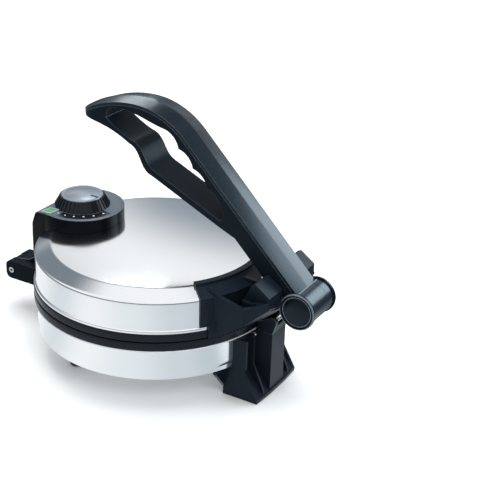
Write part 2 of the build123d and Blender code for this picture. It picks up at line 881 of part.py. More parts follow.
with BuildPart() as dial_cover:
    add(dial_form.part)
    add(cover_zone.part, mode=Mode.INTERSECT)
    with BuildSketch(at_height(part_z)):
        with Locations((0, dial_y)):
            Circle(collar_r)
    extrude(amount=dial_skin)
    with BuildSketch(dial_face):
        with BuildLine():
            Polyline(
                (rim_in_r, 0),
                (dial_r + 2, 0),
                (dial_r + 2, -rim_drop),
                (dial_r, -rim_drop),
                close=True,
            )
        make_face()
    revolve(axis=dial_axis, mode=Mode.SUBTRACT)
    with BuildSketch(at_height(dial_top_z - scale_t)):
        scale_face(0)
    extrude(amount=scale_t, mode=Mode.SUBTRACT)
    with BuildSketch(at_height(part_z - 20)):
        with Locations((0, dial_y)):
            Circle(nose_r + fit)
    extrude(amount=dial_top_z, mode=Mode.SUBTRACT)
    with BuildSketch(lens_plane):
        RectangleRounded(lens_w + fit, lens_len + fit, 1.2)
    extrude(amount=lens_depth, both=True, mode=Mode.SUBTRACT)
dial_cover.part.label = "dial_cover"
export_step(dial_cover.part, "parts/dial_cover.step")

with BuildPart() as dial_scale:
    with BuildSketch(at_height(dial_top_z - scale_t)):
        scale_face(0.1)
    extrude(amount=scale_t)
dial_scale.part.label = "dial_scale"
export_step(dial_scale.part, "parts/dial_scale.step")

with BuildPart() as pilot_lens:
    with BuildSketch(lens_plane.offset(-lens_depth)):
        RectangleRounded(lens_w, lens_len, 1.1)
    extrude(amount=lens_depth + lens_proud)
    fillet(pilot_lens.edges().group_by(Axis.Z)[-1], 0.5)
pilot_lens.part.label = "pilot_lens"
export_step(pilot_lens.part, "parts/pilot_lens.step")

# Thermostat inside the lid, its nose up through the lid cover and the housing
thermostat_r = 13.0
thermostat_h = 20.0
dome_at_dial = crown_z - (crown_z - crease_z) * (dial_y / crease_r) ** 2
thermostat_top_z = dome_at_dial - sheet - 3 * fit
shaft_pin_r = 3.0
with BuildPart() as thermostat_body:
    with BuildSketch(at_height(thermostat_top_z - thermostat_h)):
        with Locations((0, dial_y)):
            Circle(thermostat_r)
    extrude(amount=thermostat_h)
    chamfer(thermostat_body.edges().filter_by(GeomType.CIRCLE).sort_by(Axis.Z)[-1:], 1)
    with BuildSketch(at_height(thermostat_top_z)):
        with Locations((0, dial_y)):
            Circle(nose_r)
    extrude(amount=dial_top_z - 1 - thermostat_top_z)
    with BuildSketch(at_height(thermostat_top_z - thermostat_h / 2)):
        with Locations((0, dial_y)):
            Circle(shaft_pin_r + run)
    extrude(amount=dial_top_z, mode=Mode.SUBTRACT)
thermostat_body.part.label = "thermostat_body"
export_step(thermostat_body.part, "parts/thermostat_body.step")

# Hinge lug: from the leg's bottom down to the pin, between the bracket's ears
lug_front_y = ring_r + 2.2
with BuildPart() as lid_hinge_lug:
    with BuildSketch(flank):
        with BuildLine():
            Polyline(
                (lug_front_y, leg_z),
                (leg_y, leg_z),
                (leg_y + 2, leg_z - 10),
                (pin_y - 15, pin_z + lug_boss_r + 2.5),
                (pin_y, pin_z + lug_boss_r),
                (pin_y - 5, pin_z - lug_boss_r + 1.5),
                (pin_y - 23, pin_z - 2),
                (lug_front_y + 4, ring_z - 1),
                (lug_front_y, ring_z + 3),
                close=True,
            )
        make_face()
        with Locations((pin_y, pin_z)):
            Circle(lug_boss_r)
            Circle(pin_r + run, mode=Mode.SUBTRACT)
    extrude(amount=lug_w / 2, both=True)
lid_hinge_lug.part.label = "lid_hinge_lug"
export_step(lid_hinge_lug.part, "parts/lid_hinge_lug.step")

# Lid bracket: a saddle over the lid's front shoulder and a boxed nose that carries the handle's shaft
saddle_angle = 37.0
saddle_t = 1.6
saddle_foot_z = leg_z + 2.0
skirt_angle = 33.5           # the skirt over the lid's flange and the upper ring
skirt_z = upper_ring_z
strip_top_z = crease_z + 3.0
strip_in = 2.0
strip_out = 4.0
undercut = 0.8               # rise of the nose's underside for each millimetre outwards
undercut_knee_r = 148.0      # beyond this radius it rises faster
undercut_far = 1.4
nose_side_x = 60.0
nose_corner = (53, ahead(23))
nose_front_y = ahead(29)
nose_front_half = 44.0
nose_rear_y = ahead(-36)
nose_h = 60.0
wall_t = 3.8
floor_t = 3.5
wing_in = 19.5
wing_t = 3.5
wing_top_z = shoulder_z + 15.5
wing_low_z = shoulder_z - 8.0
wing_top_y = ahead(15)
wing_knee_z = shoulder_z + 5.0
wing_knee_y = ahead(30)
wing_sole_y = ahead(33)
pocket_in = 47.5              # the pocket beside the wings, and behind them
pocket_deep_in = 23.5
pocket_deep_y = ahead(4)
block_top_z = shoulder_z + 6.0
block_half = 21.0
hub_clear = 2.0
tongue_boss_r = 11.0
rest_gap = 0.3
lip_r = ring_r + 1.6
tongue_low_z = leg_z + 13.2
arm_rise = arm_half_d * math.sqrt(2)
rest_line = hub_z - hub_y - arm_rise - rest_gap * math.sqrt(2)


def underside(rise):
    """The nose's underside from the skirt outwards, or a line this far above it."""
    knee_z = skirt_z + undercut * (undercut_knee_r - lip_r)
    far_r = 2 * undercut_knee_r
    far_z = knee_z + undercut_far * (far_r - undercut_knee_r)
    return [
        (lip_r, skirt_z + rise),
        (undercut_knee_r, knee_z + rise),
        (far_r, far_z + rise),
        (far_r, 0),
    ]


# The saddle's upper side, over the lid's sloping band
saddle_line = [(crease_r + strip_out, crease_z), (lid_r + saddle_t, shoulder_z + 1)]


with BuildPart() as finger_pocket:
    with BuildSketch(at_height(skirt_z)):
        with BuildLine():
            Polyline(
                (pocket_deep_in, nose_rear_y - 5),
                (nose_side_x - wall_t + 1, nose_rear_y - 5),
                (nose_side_x - wall_t + 0.5, ahead(10)),
                (nose_corner[0] - wall_t + 1, nose_corner[1] + 3),
                (pocket_in, nose_corner[1] + 1.5),
                (pocket_in, pocket_deep_y),
                (pocket_deep_in, pocket_deep_y),
                close=True,
            )
        make_face()
    extrude(amount=nose_h)
    with BuildSketch(face):
        with BuildLine():
            Polyline(
                (0, 0),
                (0, strip_top_z),
                (crease_r + strip_out, strip_top_z),
                *saddle_line,
                (lid_r + saddle_t, skirt_z + floor_t),
                *underside(floor_t),
                close=True,
            )
        make_face()
    revolve(axis=spin_axis, mode=Mode.SUBTRACT)
    mirror(about=flank)

with BuildPart() as lid_bracket:
    # Nose: a box in plan, its top falling forwards and turning up to a lip
    with BuildSketch(at_height(skirt_z)):
        with BuildLine():
            sides = [(nose_side_x, nose_rear_y), (nose_side_x + 1, ahead(11.5)), nose_corner]
            half = sides + [(nose_front_half, nose_front_y)]
            Polyline(*both_sides(half), close=True)
        make_face()
    extrude(amount=nose_h)
    with BuildSketch(flank):
        with BuildLine():
            Polyline(
                (nose_rear_y, skirt_z),
                (nose_rear_y, shoulder_z + 7),
                (ahead(-25), shoulder_z + 5.4),
                (ahead(11.5), shoulder_z - 3.5),
                (nose_corner[1], shoulder_z - 0.5),
                (nose_front_y - 1, shoulder_z + 0.2),
                (nose_front_y - 1, skirt_z),
                close=True,
            )
        make_face()
    extrude(amount=nose_side_x + 2, both=True, mode=Mode.INTERSECT)
    # Saddle and the strip along the lid's crease
    with BuildSketch(radial(-90 - saddle_angle)):
        with BuildLine():
            Polyline(
                (crease_r - strip_in, crease_z - 3),
                (crease_r - strip_in, strip_top_z),
                (crease_r + strip_out, strip_top_z),
                *saddle_line,
                (lid_r + saddle_t, saddle_foot_z),
                (crease_r - strip_in, saddle_foot_z),
                close=True,
            )
        make_face()
    revolve(axis=spin_axis, revolution_arc=2 * saddle_angle)
    # Skirt over the lid's flange and the upper ring
    with BuildSketch(radial(-90 - skirt_angle)):
        with BuildLine():
            Polyline(
                (lid_r, saddle_foot_z + 4),
                (lid_r + saddle_t, saddle_foot_z + 4),
                (lip_r, saddle_foot_z),
                (lip_r, skirt_z),
                (lid_r, skirt_z),
                close=True,
            )
        make_face()
    revolve(axis=spin_axis, revolution_arc=2 * skirt_angle)
    # Centre block: the arm's rest, sloping with the arm
    with BuildSketch(flank):
        with BuildLine():
            Polyline(
                (ahead(-17), skirt_z),
                (ahead(-17), block_top_z),
                (block_top_z - rest_line, block_top_z),
                (skirt_z - rest_line, skirt_z),
                close=True,
            )
        make_face()
    extrude(amount=block_half, both=True)
    # Room for the arm at rest
    with BuildSketch(flank):
        with BuildLine():
            Polyline(
                (block_top_z + 10 - rest_line, block_top_z + 10),
                (skirt_z - rest_line, skirt_z),
                (hub_y - hub_r, skirt_z),
                (hub_y - hub_r, block_top_z + 10),
                close=True,
            )
        make_face()
    extrude(amount=arm_half_w + 1, both=True, mode=Mode.SUBTRACT)
    # Wings: curved ramps either side of the arm, each on two ribs
    with BuildSketch(flank.offset(wing_in)):
        with BuildLine():
            Polyline(
                (wing_top_y, wing_top_z),
                (wing_knee_y, wing_knee_z),
                (wing_knee_y, wing_low_z + 5),
                (wing_sole_y, wing_low_z),
                (wing_sole_y + wing_t, wing_low_z),
                (wing_knee_y + wing_t, wing_low_z + 6),
                (wing_knee_y + wing_t, wing_knee_z - 1.5),
                (wing_top_y + wing_t, wing_top_z - 2),
                close=True,
            )
        make_face()
    extrude(amount=nose_front_half - wing_in)
    for x in (wing_in, nose_front_half - wing_t):
        with BuildSketch(flank.offset(x)):
            with BuildLine():
                Polyline(
                    (ahead(1), wing_low_z + 2),
                    (wing_top_y + wing_t, wing_top_z - 2),
                    (wing_top_y, wing_top_z),
                    (wing_knee_y + 3, wing_knee_z),
                    (wing_knee_y + 3, wing_low_z + 2),
                    close=True,
                )
            make_face()
        extrude(amount=wing_t)
    mirror(about=flank)
    # Undercut, lid, pockets and the barrel's clearance
    with BuildSketch(face):
        with BuildLine():
            Polyline(
                (0, 0),
                (0, skirt_z),
                *underside(0),
                close=True,
            )
        make_face()
    revolve(axis=spin_axis, mode=Mode.SUBTRACT)
    add(lid_form.part, mode=Mode.SUBTRACT)
    add(finger_pocket.part, mode=Mode.SUBTRACT)
    with BuildSketch(flank):
        with Locations((hub_y, hub_z)):
            Circle(hub_r + hub_clear)
    extrude(amount=hub_half + cap_t + 1, both=True, mode=Mode.SUBTRACT)
    # Tongue and its boss
    with BuildSketch(flank):
        with BuildLine():
            Polyline(
                (hub_y + 2, hub_z - tongue_boss_r + 0.2),
                (ahead(19), tongue_low_z + 2 * undercut),
                (ahead(17), tongue_low_z),
                (ahead(17), rest_line + ahead(17)),
                (hub_y + tongue_boss_r * 0.72, rest_line + hub_y + tongue_boss_r * 0.72),
                close=True,
            )
        make_face()
        with Locations((hub_y, hub_z)):
            Circle(tongue_boss_r)
            Circle(shaft_r, mode=Mode.SUBTRACT)
    extrude(amount=tongue_half, both=True)
lid_bracket.part.label = "lid_bracket"
export_step(lid_bracket.part, "parts/lid_bracket.step")

# Handle shaft across the tongue
shaft_half = hub_half - 0.5
with BuildPart() as handle_shaft:
    with BuildSketch(flank):
        with Locations((hub_y, hub_z)):
            Circle(shaft_r)
    extrude(amount=shaft_half, both=True)
    chamfer(handle_shaft.edges().filter_by(GeomType.CIRCLE), 0.5)
handle_shaft.part.label = "handle_shaft"
export_step(handle_shaft.part, "parts/handle_shaft.step")

# Lid bracket screws on the centre block
bracket_screw_spots = [(-12, ahead(6.5)), (12, ahead(6.5))]
with BuildPart() as lid_bracket_screws:
    with BuildSketch(at_height(block_top_z)):
        with Locations(bracket_screw_spots):
            Circle(screw_head_r)
    extrude(amount=screw_head_h)
    chamfer(lid_bracket_screws.edges().group_by(Axis.Z)[-1], screw_soft)
    with BuildSketch(at_height(block_top_z + screw_head_h)):
        with Locations(bracket_screw_spots):
            RegularPolygon(screw_hole_r, 6)
    extrude(amount=-screw_hole_h, mode=Mode.SUBTRACT)
lid_bracket_screws.part.label = "lid_bracket_screws"
export_step(lid_bracket_screws.part, "parts/lid_bracket_screws.step")

# ================================================================ PRESS HANDLE
# Outlines are drawn from the shaft's centre: u towards the rear, v up
hub_flank = Plane(origin=(0, shell_y + hub_y, hub_z), x_dir=(0, 1, 0), z_dir=(1, 0, 0))
arm_line = Plane(origin=(0, shell_y + hub_y, hub_z), x_dir=(0, 1, 1), z_dir=(1, 0, 0))
roof_top_u = 181.0
roof_top_v = 163.6
tip_u = 248.0
tip_v = 143.0
roof_r = (arm_rise + roof_top_u - roof_top_v) / (math.sqrt(2) - 1)
roof_bend_u = roof_top_u - roof_r / math.sqrt(2)
tip_len = 22.0
tip_low_u = tip_u - 7       # where the grip's underside ends, below the blunt tip
tip_low_v = tip_v - 6
elbow_u = 70.0
cover_start = 13.0
cover_gap = 0.15
slot_half = tongue_half + 0.6
slot_low = math.radians(-142)
slot_low_corner = (2 * hub_r * math.cos(slot_low), 2 * hub_r * math.sin(slot_low))
barrel_skin = 1.8            # what the slot leaves of the barrel's front
channel_half = 14.0
channel_depth = 11.0


def roof_line(start_u):
    """Draw the arm's top line: straight at 45 degrees, over the grip, then down to the tip."""
    Line((start_u, start_u + arm_rise), (roof_bend_u, roof_bend_u + arm_rise))
    JernArc((roof_bend_u, roof_bend_u + arm_rise), (1, 1), roof_r, -45)
    TangentArc((roof_top_u, roof_top_v), (tip_u, tip_v), tangent=(1, 0))


def grip_plan():
    """Draw the arm's plan: its full width, rounded over the last stretch to the tip."""
    with Locations((0, hub_y + tip_u - tip_len)):
        Ellipse(arm_half_w, tip_len)
        Rectangle(2 * arm_half_w, 2 * tip_u, align=(Align.CENTER, Align.MAX))


# The stretch of space that the roof cover takes from the arm
roof_start_u = cover_start / math.sqrt(2) - arm_rise / 2
with BuildLine() as roof_sketch:
    roof_line(roof_start_u)
roof_path = hub_flank.location * roof_sketch.line
roof_end = Plane(origin=roof_path @ 0, x_dir=(1, 0, 0), z_dir=roof_path % 0)
with BuildPart() as roof_band:
    with BuildSketch(roof_end):
        Rectangle(2 * arm_half_w + 2, 2 * (cover_t + cover_crown + cover_gap))
    sweep(path=roof_path)

# Handle frame: barrel, arm, window with finger scallops, knuckle sill and tip
scallop_pitch = 22.4
scallop_depth = 3.4
scallop_count = 4
cusp_u = 148.6
cusp_v = 144.0
with BuildPart() as handle_frame:
    with BuildSketch(hub_flank):
        with BuildLine():
            roof_line(0)
            Line((0, arm_rise), (arm_rise, 0))
            Polyline((arm_rise, 0), (elbow_u, elbow_u - arm_rise), (84, 59.8), (162, 94.6))
            Spline((162, 94.6), (171.5, 101.3), (178.5, 114.3), (188, 121.6))
            Spline((188, 121.6), (203, 128.9), (226, 135.4), (tip_low_u, tip_low_v))
            Polyline((tip_low_u, tip_low_v), (tip_u - 3.6, tip_v - 4.4), (tip_u, tip_v))
        make_face()
        Circle(hub_r)
    extrude(amount=arm_half_w, both=True)
    with BuildSketch(hub_flank):
        Circle(hub_r)
    extrude(amount=hub_half, both=True)
    with BuildSketch(hub_flank):
        with BuildLine():
            step = scallop_pitch / math.sqrt(2)
            deep = scallop_depth / math.sqrt(2)
            for n in range(scallop_count):
                u = cusp_u - n * step
                v = cusp_v - n * step
                ThreePointArc((u, v), (u - step / 2 - deep, v - step / 2 + deep), (u - step, v - step))
            low_u = cusp_u - scallop_count * step
            low_v = cusp_v - scallop_count * step
            Spline((low_u, low_v), (83.2, 73), (86.5, 67.6))
            Line((86.5, 67.6), (160, 100.4))
            Spline((160, 100.4), (167, 106.2), (173.5, 117), (185, 125.4))
            Spline((185, 125.4), (200, 132.4), (214, 142))
            Spline((214, 142), (211, 150.6), (196, 153.9), (172, 149.8), (cusp_u, cusp_v))
        make_face()
    extrude(amount=arm_half_w, both=True, mode=Mode.SUBTRACT)
    with BuildSketch(deck):
        grip_plan()
        with Locations((0, hub_y)):
            Rectangle(2 * hub_half, 4 * hub_r)
    extrude(amount=300, mode=Mode.INTERSECT)
    add(roof_band.part, mode=Mode.SUBTRACT)
    # Channel under the straight arm
    with BuildSketch(arm_line):
        with Locations((hub_r + 4, -arm_half_d)):
            Rectangle(elbow_u, 2 * channel_depth, align=(Align.MIN, Align.CENTER))
    extrude(amount=channel_half, both=True, mode=Mode.SUBTRACT)
    # Slot for the tongue, open over the barrel's rear and underside
    with BuildSketch(hub_flank):
        Circle(hub_r - barrel_skin)
        with BuildLine():
            Polyline(
                (0, 0),
                slot_low_corner,
                (0, -3 * hub_r),
                (3 * hub_r, -3 * hub_r),
                (2 * hub_r, 2 * hub_r - arm_rise + channel_depth),
                (0, 0),
            )
        make_face()
    extrude(amount=slot_half, both=True, mode=Mode.SUBTRACT)
    with BuildSketch(hub_flank):
        Circle(shaft_r + run)
    extrude(amount=hub_half, both=True, mode=Mode.SUBTRACT)
handle_frame.part.label = "handle_frame"
export_step(handle_frame.part, "parts/handle_frame.step")

# Roof cover: a skin with a shallow ridge, swept along the arm's top line
with BuildPart() as handle_cover:
    with BuildSketch(roof_end):
        with BuildLine():
            ridge_side = [(arm_half_w, cover_crown), (arm_half_w, cover_crown + cover_t)]
            Polyline((0, 0), *both_sides(ridge_side), close=True)
        make_face()
    sweep(path=roof_path)
    with BuildSketch(deck):
        grip_plan()
    extrude(amount=300, mode=Mode.INTERSECT)
handle_cover.part.label = "handle_cover"
export_step(handle_cover.part, "parts/handle_cover.step")


def cap_body(side):
    """A round cap on one end of the barrel: a raised rim around a shallow dish and a domed middle."""
    outwards = hub_flank.offset(side * hub_half)
    with BuildSketch(outwards) as disc:
        Circle(cap_r)
    extrude(disc.sketch, amount=side * cap_t)
    with BuildSketch(outwards.offset(side * cap_t)) as dish:
        Circle(cap_r - cap_rim)
        Circle(cap_dome_r, mode=Mode.SUBTRACT)
    extrude(dish.sketch, amount=-side * cap_dish, mode=Mode.SUBTRACT)


cap_rim = 1.8
cap_dome_r = 13.2
cap_dish = 0.8
cap_soft = 0.6
with BuildPart() as hub_cap_left:
    cap_body(-1)
    chamfer(hub_cap_left.edges().group_by(Axis.X)[0], cap_soft)
hub_cap_left.part.label = "hub_cap_left"
export_step(hub_cap_left.part, "parts/hub_cap_left.step")

with BuildPart() as hub_cap_right:
    cap_body(1)
    chamfer(hub_cap_right.edges().group_by(Axis.X)[-1], cap_soft)
hub_cap_right.part.label = "hub_cap_right"
export_step(hub_cap_right.part, "parts/hub_cap_right.step")

# ================================================================ DIAL KNOB
rib_count = 36
rib_deep = 0.9
rib_w = 2.6
knob_z = dial_top_z + knob_gap
knob_top_z = knob_z + knob_h
with BuildPart() as knob_skirt:
    for z, r in ((knob_z, knob_r), (knob_top_z, knob_top_r)):
        with BuildSketch(at_height(z)):
            with Locations((0, dial_y)):
                Circle(r)
                with PolarLocations(r, rib_count):
                    Rectangle(2 * rib_deep, rib_w * r / knob_r, mode=Mode.SUBTRACT)
    loft(ruled=True)
    with BuildSketch(at_height(knob_z)):
        with Locations((0, dial_y)):
            Circle(shaft_pin_r + run)
    extrude(amount=knob_h, mode=Mode.SUBTRACT)
knob_skirt.part.label = "knob_skirt"
export_step(knob_skirt.part, "parts/knob_skirt.step")

knob_cap_r = 21.0
knob_cap_t = 1.4
with BuildPart() as knob_cap:
    with BuildSketch(at_height(knob_top_z)):
        with Locations((0, dial_y)):
            Circle(knob_cap_r)
    extrude(amount=knob_cap_t)
    fillet(knob_cap.edges().group_by(Axis.Z)[-1], 0.9)
knob_cap.part.label = "knob_cap"
export_step(knob_cap.part, "parts/knob_cap.step")

pointer_len = 9.0
pointer_w = 1.8
pointer_t = 0.4
pointer_r = 15.2
with BuildPart() as knob_pointer:
    with BuildSketch(at_height(knob_top_z + knob_cap_t)):
        with Locations((0, dial_y - pointer_r)):
            SlotOverall(pointer_len, pointer_w, rotation=90)
    extrude(amount=pointer_t)
knob_pointer.part.label = "knob_pointer"
export_step(knob_pointer.part, "parts/knob_pointer.step")

with BuildPart() as thermostat_shaft:
    with BuildSketch(at_height(thermostat_top_z - thermostat_h / 2 + fit)):
        with Locations((0, dial_y)):
            Circle(shaft_pin_r)
    extrude(amount=knob_top_z - thermostat_top_z + thermostat_h / 2 - fit)
thermostat_shaft.part.label = "thermostat_shaft"
export_step(thermostat_shaft.part, "parts/thermostat_shaft.step")
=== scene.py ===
# %% [markdown]
# # An electric roti maker, dressed for the camera
# The mechanical model arrives as a fixed frame: every rigid piece is already in its place, in
# metres. This lesson gives those pieces their finishes, softens their edges, adds the small things
# that a machinist's model leaves out, and sets up a plain studio. Z is up, the lid's hinge is
# towards +Y and the press handle's pivot towards -Y.

# %% Load the frame
import json
import math

import bmesh
import bpy
from mathutils import Matrix, Vector


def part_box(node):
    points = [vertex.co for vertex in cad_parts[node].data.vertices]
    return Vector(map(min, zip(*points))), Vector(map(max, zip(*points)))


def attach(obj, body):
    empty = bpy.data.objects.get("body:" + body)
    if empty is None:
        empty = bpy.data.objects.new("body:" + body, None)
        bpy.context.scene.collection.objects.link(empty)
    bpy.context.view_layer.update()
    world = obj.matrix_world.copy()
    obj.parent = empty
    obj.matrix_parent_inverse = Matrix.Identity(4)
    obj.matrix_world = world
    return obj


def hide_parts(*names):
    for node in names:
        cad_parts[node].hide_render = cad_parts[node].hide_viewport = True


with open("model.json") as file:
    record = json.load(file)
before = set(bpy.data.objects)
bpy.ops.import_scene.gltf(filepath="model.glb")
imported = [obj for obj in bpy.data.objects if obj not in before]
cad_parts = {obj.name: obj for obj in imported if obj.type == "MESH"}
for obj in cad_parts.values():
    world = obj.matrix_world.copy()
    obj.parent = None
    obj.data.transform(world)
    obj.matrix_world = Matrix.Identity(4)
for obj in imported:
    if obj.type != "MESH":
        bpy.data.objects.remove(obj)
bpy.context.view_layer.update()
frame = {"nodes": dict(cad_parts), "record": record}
nodes = frame["nodes"]
MM = 0.001
print("pieces in the frame:", len(nodes))

# %% [markdown]
# ## Places
# New pieces have to fit the ones in the frame. Sizes could be copied by hand, but then a change in
# the frame would leave them behind, so the script measures what it needs: the axis of the round
# body, the axis of the dial and the pivot of the handle.

# %% Measure the frame


def middle(node):
    """The centre of a node's box."""
    low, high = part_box(node)
    return (Vector(low) + Vector(high)) / 2


axis = middle("lower_plate")
dial = middle("knob_cap")
pivot = middle("handle_shaft")
print("cooker axis at y = %.1f mm, dial at y = %.1f mm" % (axis.y / MM, dial.y / MM))

# %% [markdown]
# ## Camera
# A long lens from about a metre and a quarter, to the left of the front foot and well above the
# table. A camera could be aimed with a constraint, but a pitch, a pan and a small roll, as on a
# tripod's head, put the cooker in the same place in the frame each time. The stand is measured from
# the cooker's axis.

# %% Set up the camera
CAMERA_REACH = 1.066
CAMERA_HEIGHT = 0.6252
CAMERA_AZIMUTH = math.radians(-56.0)
CAMERA_PITCH = 0.45030
CAMERA_PAN = 0.07729
CAMERA_ROLL = 0.00255
CAMERA_CLIP = 20.0
SENSOR_WIDTH = 36.0
FOCAL_PIXELS = 1200.0
FRAME_PIXELS = 500.0


def tripod_axes():
    """The camera's right, up and forward directions in the object's frame."""
    forward = Vector((0, math.cos(CAMERA_PITCH), -math.sin(CAMERA_PITCH)))
    right = Vector((1, 0, 0))
    up = right.cross(forward)
    panned = forward * math.cos(CAMERA_PAN) + right * math.sin(CAMERA_PAN)
    right = right * math.cos(CAMERA_PAN) - forward * math.sin(CAMERA_PAN)
    rolled = right * math.cos(CAMERA_ROLL) + up * math.sin(CAMERA_ROLL)
    up = up * math.cos(CAMERA_ROLL) - right * math.sin(CAMERA_ROLL)
    turn = Matrix.Rotation(CAMERA_AZIMUTH, 3, "Z")
    return turn @ rolled, turn @ up, turn @ panned


right, up, forward = tripod_axes()
camera_data = bpy.data.cameras.new("camera")
camera_data.sensor_width = SENSOR_WIDTH
camera_data.lens = SENSOR_WIDTH * FOCAL_PIXELS / FRAME_PIXELS
camera_data.clip_end = CAMERA_CLIP
camera = bpy.data.objects.new("camera", camera_data)
bpy.context.collection.objects.link(camera)
stand = Vector((math.sin(CAMERA_AZIMUTH), -math.cos(CAMERA_AZIMUTH), 0)) * CAMERA_REACH
stand += Vector((axis.x, axis.y, CAMERA_HEIGHT))
turn = Matrix((right, up, -forward)).transposed().to_4x4()
camera.matrix_world = Matrix.Translation(stand) @ turn
bpy.context.scene.camera = camera
print("camera at", [round(v, 3) for v in stand])

# %% [markdown]
# ## Shader helpers
# Every finish is a Principled shader fed by nodes. Nodes could be dragged together in the editor,
# and in a script each one takes several lines. These helpers add one with few words: a value, a
# colour or another node's socket can be given to any input, by its name or by its number.

# %% Place a node


def tone(red, green, blue):
    return (red, green, blue, 1.0)


def place_node(tree, kind, settings=None, **inputs):
    """Add a node, set its settings, and give each named or numbered input a value or a link."""
    node = tree.nodes.new("ShaderNode" + kind)
    for name, value in (settings or {}).items():
        setattr(node, name, value)
    for name, value in inputs.items():
        key = int(name[1:]) if name[1:].isdigit() else name.replace("_", " ")
        if isinstance(value, bpy.types.NodeSocket):
            tree.links.new(value, node.inputs[key])
        else:
            node.inputs[key].default_value = value
    return node


def calculate(tree, operation, *values):
    """The result of an operation on up to three numbers or sockets."""
    inputs = {"_%d" % place: value for place, value in enumerate(values)}
    return place_node(tree, "Math", {"operation": operation}, **inputs).outputs[0]


def place_in_space(tree):
    """The place on the piece, in metres."""
    return place_node(tree, "TexCoord").outputs["Object"]


# %% Open and close a group
FLOAT = "NodeSocketFloat"
COLOR = "NodeSocketColor"
VECTOR = "NodeSocketVector"


def start_group(name, ins):
    """A shader node group with these inputs (kind, default), and its entry's sockets."""
    tree = bpy.data.node_groups.new(name, "ShaderNodeTree")
    for label, (kind, value) in ins.items():
        socket = tree.interface.new_socket(label, in_out="INPUT", socket_type=kind)
        socket.default_value = value
    for label, kind in (("Color", COLOR), ("Roughness", FLOAT), ("Height", FLOAT)):
        tree.interface.new_socket(label, in_out="OUTPUT", socket_type=kind)
    return tree, tree.nodes.new("NodeGroupInput").outputs


def close_group(tree, colour, roughness, height):
    leaving = tree.nodes.new("NodeGroupOutput").inputs
    for label, socket in (("Color", colour), ("Roughness", roughness), ("Height", height)):
        tree.links.new(socket, leaving[label])
    print("group:", tree.name)


# %% [markdown]
# ## Effect: moulded grain
# Injection-moulded housings carry the fine spark-eroded grain of their tool, and pick up slightly
# uneven gloss from handling. A picture of such a skin could be wrapped round each piece, but a
# pattern made of noise needs no unwrapping and has no seam. One group makes both: a tight noise
# cut by cells for the grain's height, and a broad noise that shifts the tone and the roughness a
# little. It is used on every plastic piece, each with its own grain size.

# %% Build the moulded grain group
HANDLING_SCALE = 26.0


def vary(tree, given, shift, tone_spread):
    """The group's tone and roughness, both moved by a shift about 0."""
    roughness = calculate(tree, "MULTIPLY_ADD", shift, given["Rough Spread"], given["Rough"])
    lift = calculate(tree, "MULTIPLY_ADD", shift, tone_spread, 1.0)
    scaled = {"Vector": given["Tone"], "Scale": lift}
    toned = place_node(tree, "VectorMath", {"operation": "SCALE"}, **scaled)
    return toned.outputs[0], roughness


tree, given = start_group(
    "moulded grain",
    {
        "Tone": (COLOR, (0.5, 0.5, 0.5, 1)),
        "Grain Size": (FLOAT, 1800.0),
        "Rough": (FLOAT, 0.4),
        "Rough Spread": (FLOAT, 0.08),
        "Tone Spread": (FLOAT, 0.12),
    },
)
spot = place_in_space(tree)
size = given["Grain Size"]
grain = place_node(tree, "TexNoise", Vector=spot, Scale=size, Detail=3.0).outputs["Fac"]
cells = place_node(tree, "TexVoronoi", Vector=spot, Scale=size).outputs["Distance"]
broad = place_node(tree, "TexNoise", Vector=spot, Scale=HANDLING_SCALE, Detail=4.0, Roughness=0.6)
shift = calculate(tree, "SUBTRACT", broad.outputs["Fac"], 0.5)
colour, roughness = vary(tree, given, shift, given["Tone Spread"])
close_group(tree, colour, roughness, calculate(tree, "MULTIPLY", grain, cells))

# %% [markdown]
# ## Effect: lathe lines
# The covers are spun and polished on a lathe, so the finest scratches run in circles round the
# cooker's axis. The shader's own anisotropy could stretch the shine, but it draws no lines, so here
# the roughness and the height change from line to line. The group turns the place into a radius,
# adds the height so that upright walls get lines too, and reads a one-dimensional noise along the
# sum: the result is the same all the way round. A broad noise stands for wiping marks.

# %% Build the lathe line group
WIPING_SCALE = 9.0
METAL_TONE_SPREAD = 0.05


def combine(tree, operation, *values):
    """The two outputs, Vector and Value, of an operation on vectors."""
    inputs = {"_%d" % place: value for place, value in enumerate(values)}
    return place_node(tree, "VectorMath", {"operation": operation}, **inputs).outputs


tree, given = start_group(
    "lathe lines",
    {
        "Middle": (VECTOR, (0.0, 0.0, 0.0)),
        "Lines": (FLOAT, 2200.0),
        "Rough": (FLOAT, 0.16),
        "Rough Spread": (FLOAT, 0.06),
        "Tone": (COLOR, (0.8, 0.8, 0.8, 1)),
    },
)
spot = place_in_space(tree)
centred = combine(tree, "SUBTRACT", spot, given["Middle"])[0]
flat = combine(tree, "MULTIPLY", centred, (1.0, 1.0, 0.0))[0]
radius = combine(tree, "LENGTH", flat)["Value"]
height = place_node(tree, "SeparateXYZ", Vector=centred).outputs["Z"]
along = calculate(tree, "ADD", radius, height)
fineness = {"W": along, "Scale": given["Lines"], "Detail": 3.0, "Roughness": 0.7}
rings = place_node(tree, "TexNoise", {"noise_dimensions": "1D"}, **fineness).outputs["Fac"]
marks = {"Scale": WIPING_SCALE, "Detail": 5.0, "Roughness": 0.65, "Distortion": 0.4}
wiped = place_node(tree, "TexNoise", Vector=spot, **marks).outputs["Fac"]
shift = calculate(tree, "SUBTRACT", calculate(tree, "ADD", rings, wiped), 1.0)
colour, roughness = vary(tree, given, shift, METAL_TONE_SPREAD)
close_group(tree, colour, roughness, rings)

# %% [markdown]
# ## Effect: cast speckle
# Coated plates, rubber and ceramic have a coarser, speckled skin, and bright zinc has its spangle.
# Scattered grains could be modelled, but they are far too small and too many. This group mixes two
# tones by a cell pattern instead, and gives the same pattern as a height.

# %% Build the speckle group
CLOUD_SCALE = 60.0
CLOUD_ROUGH = 0.12


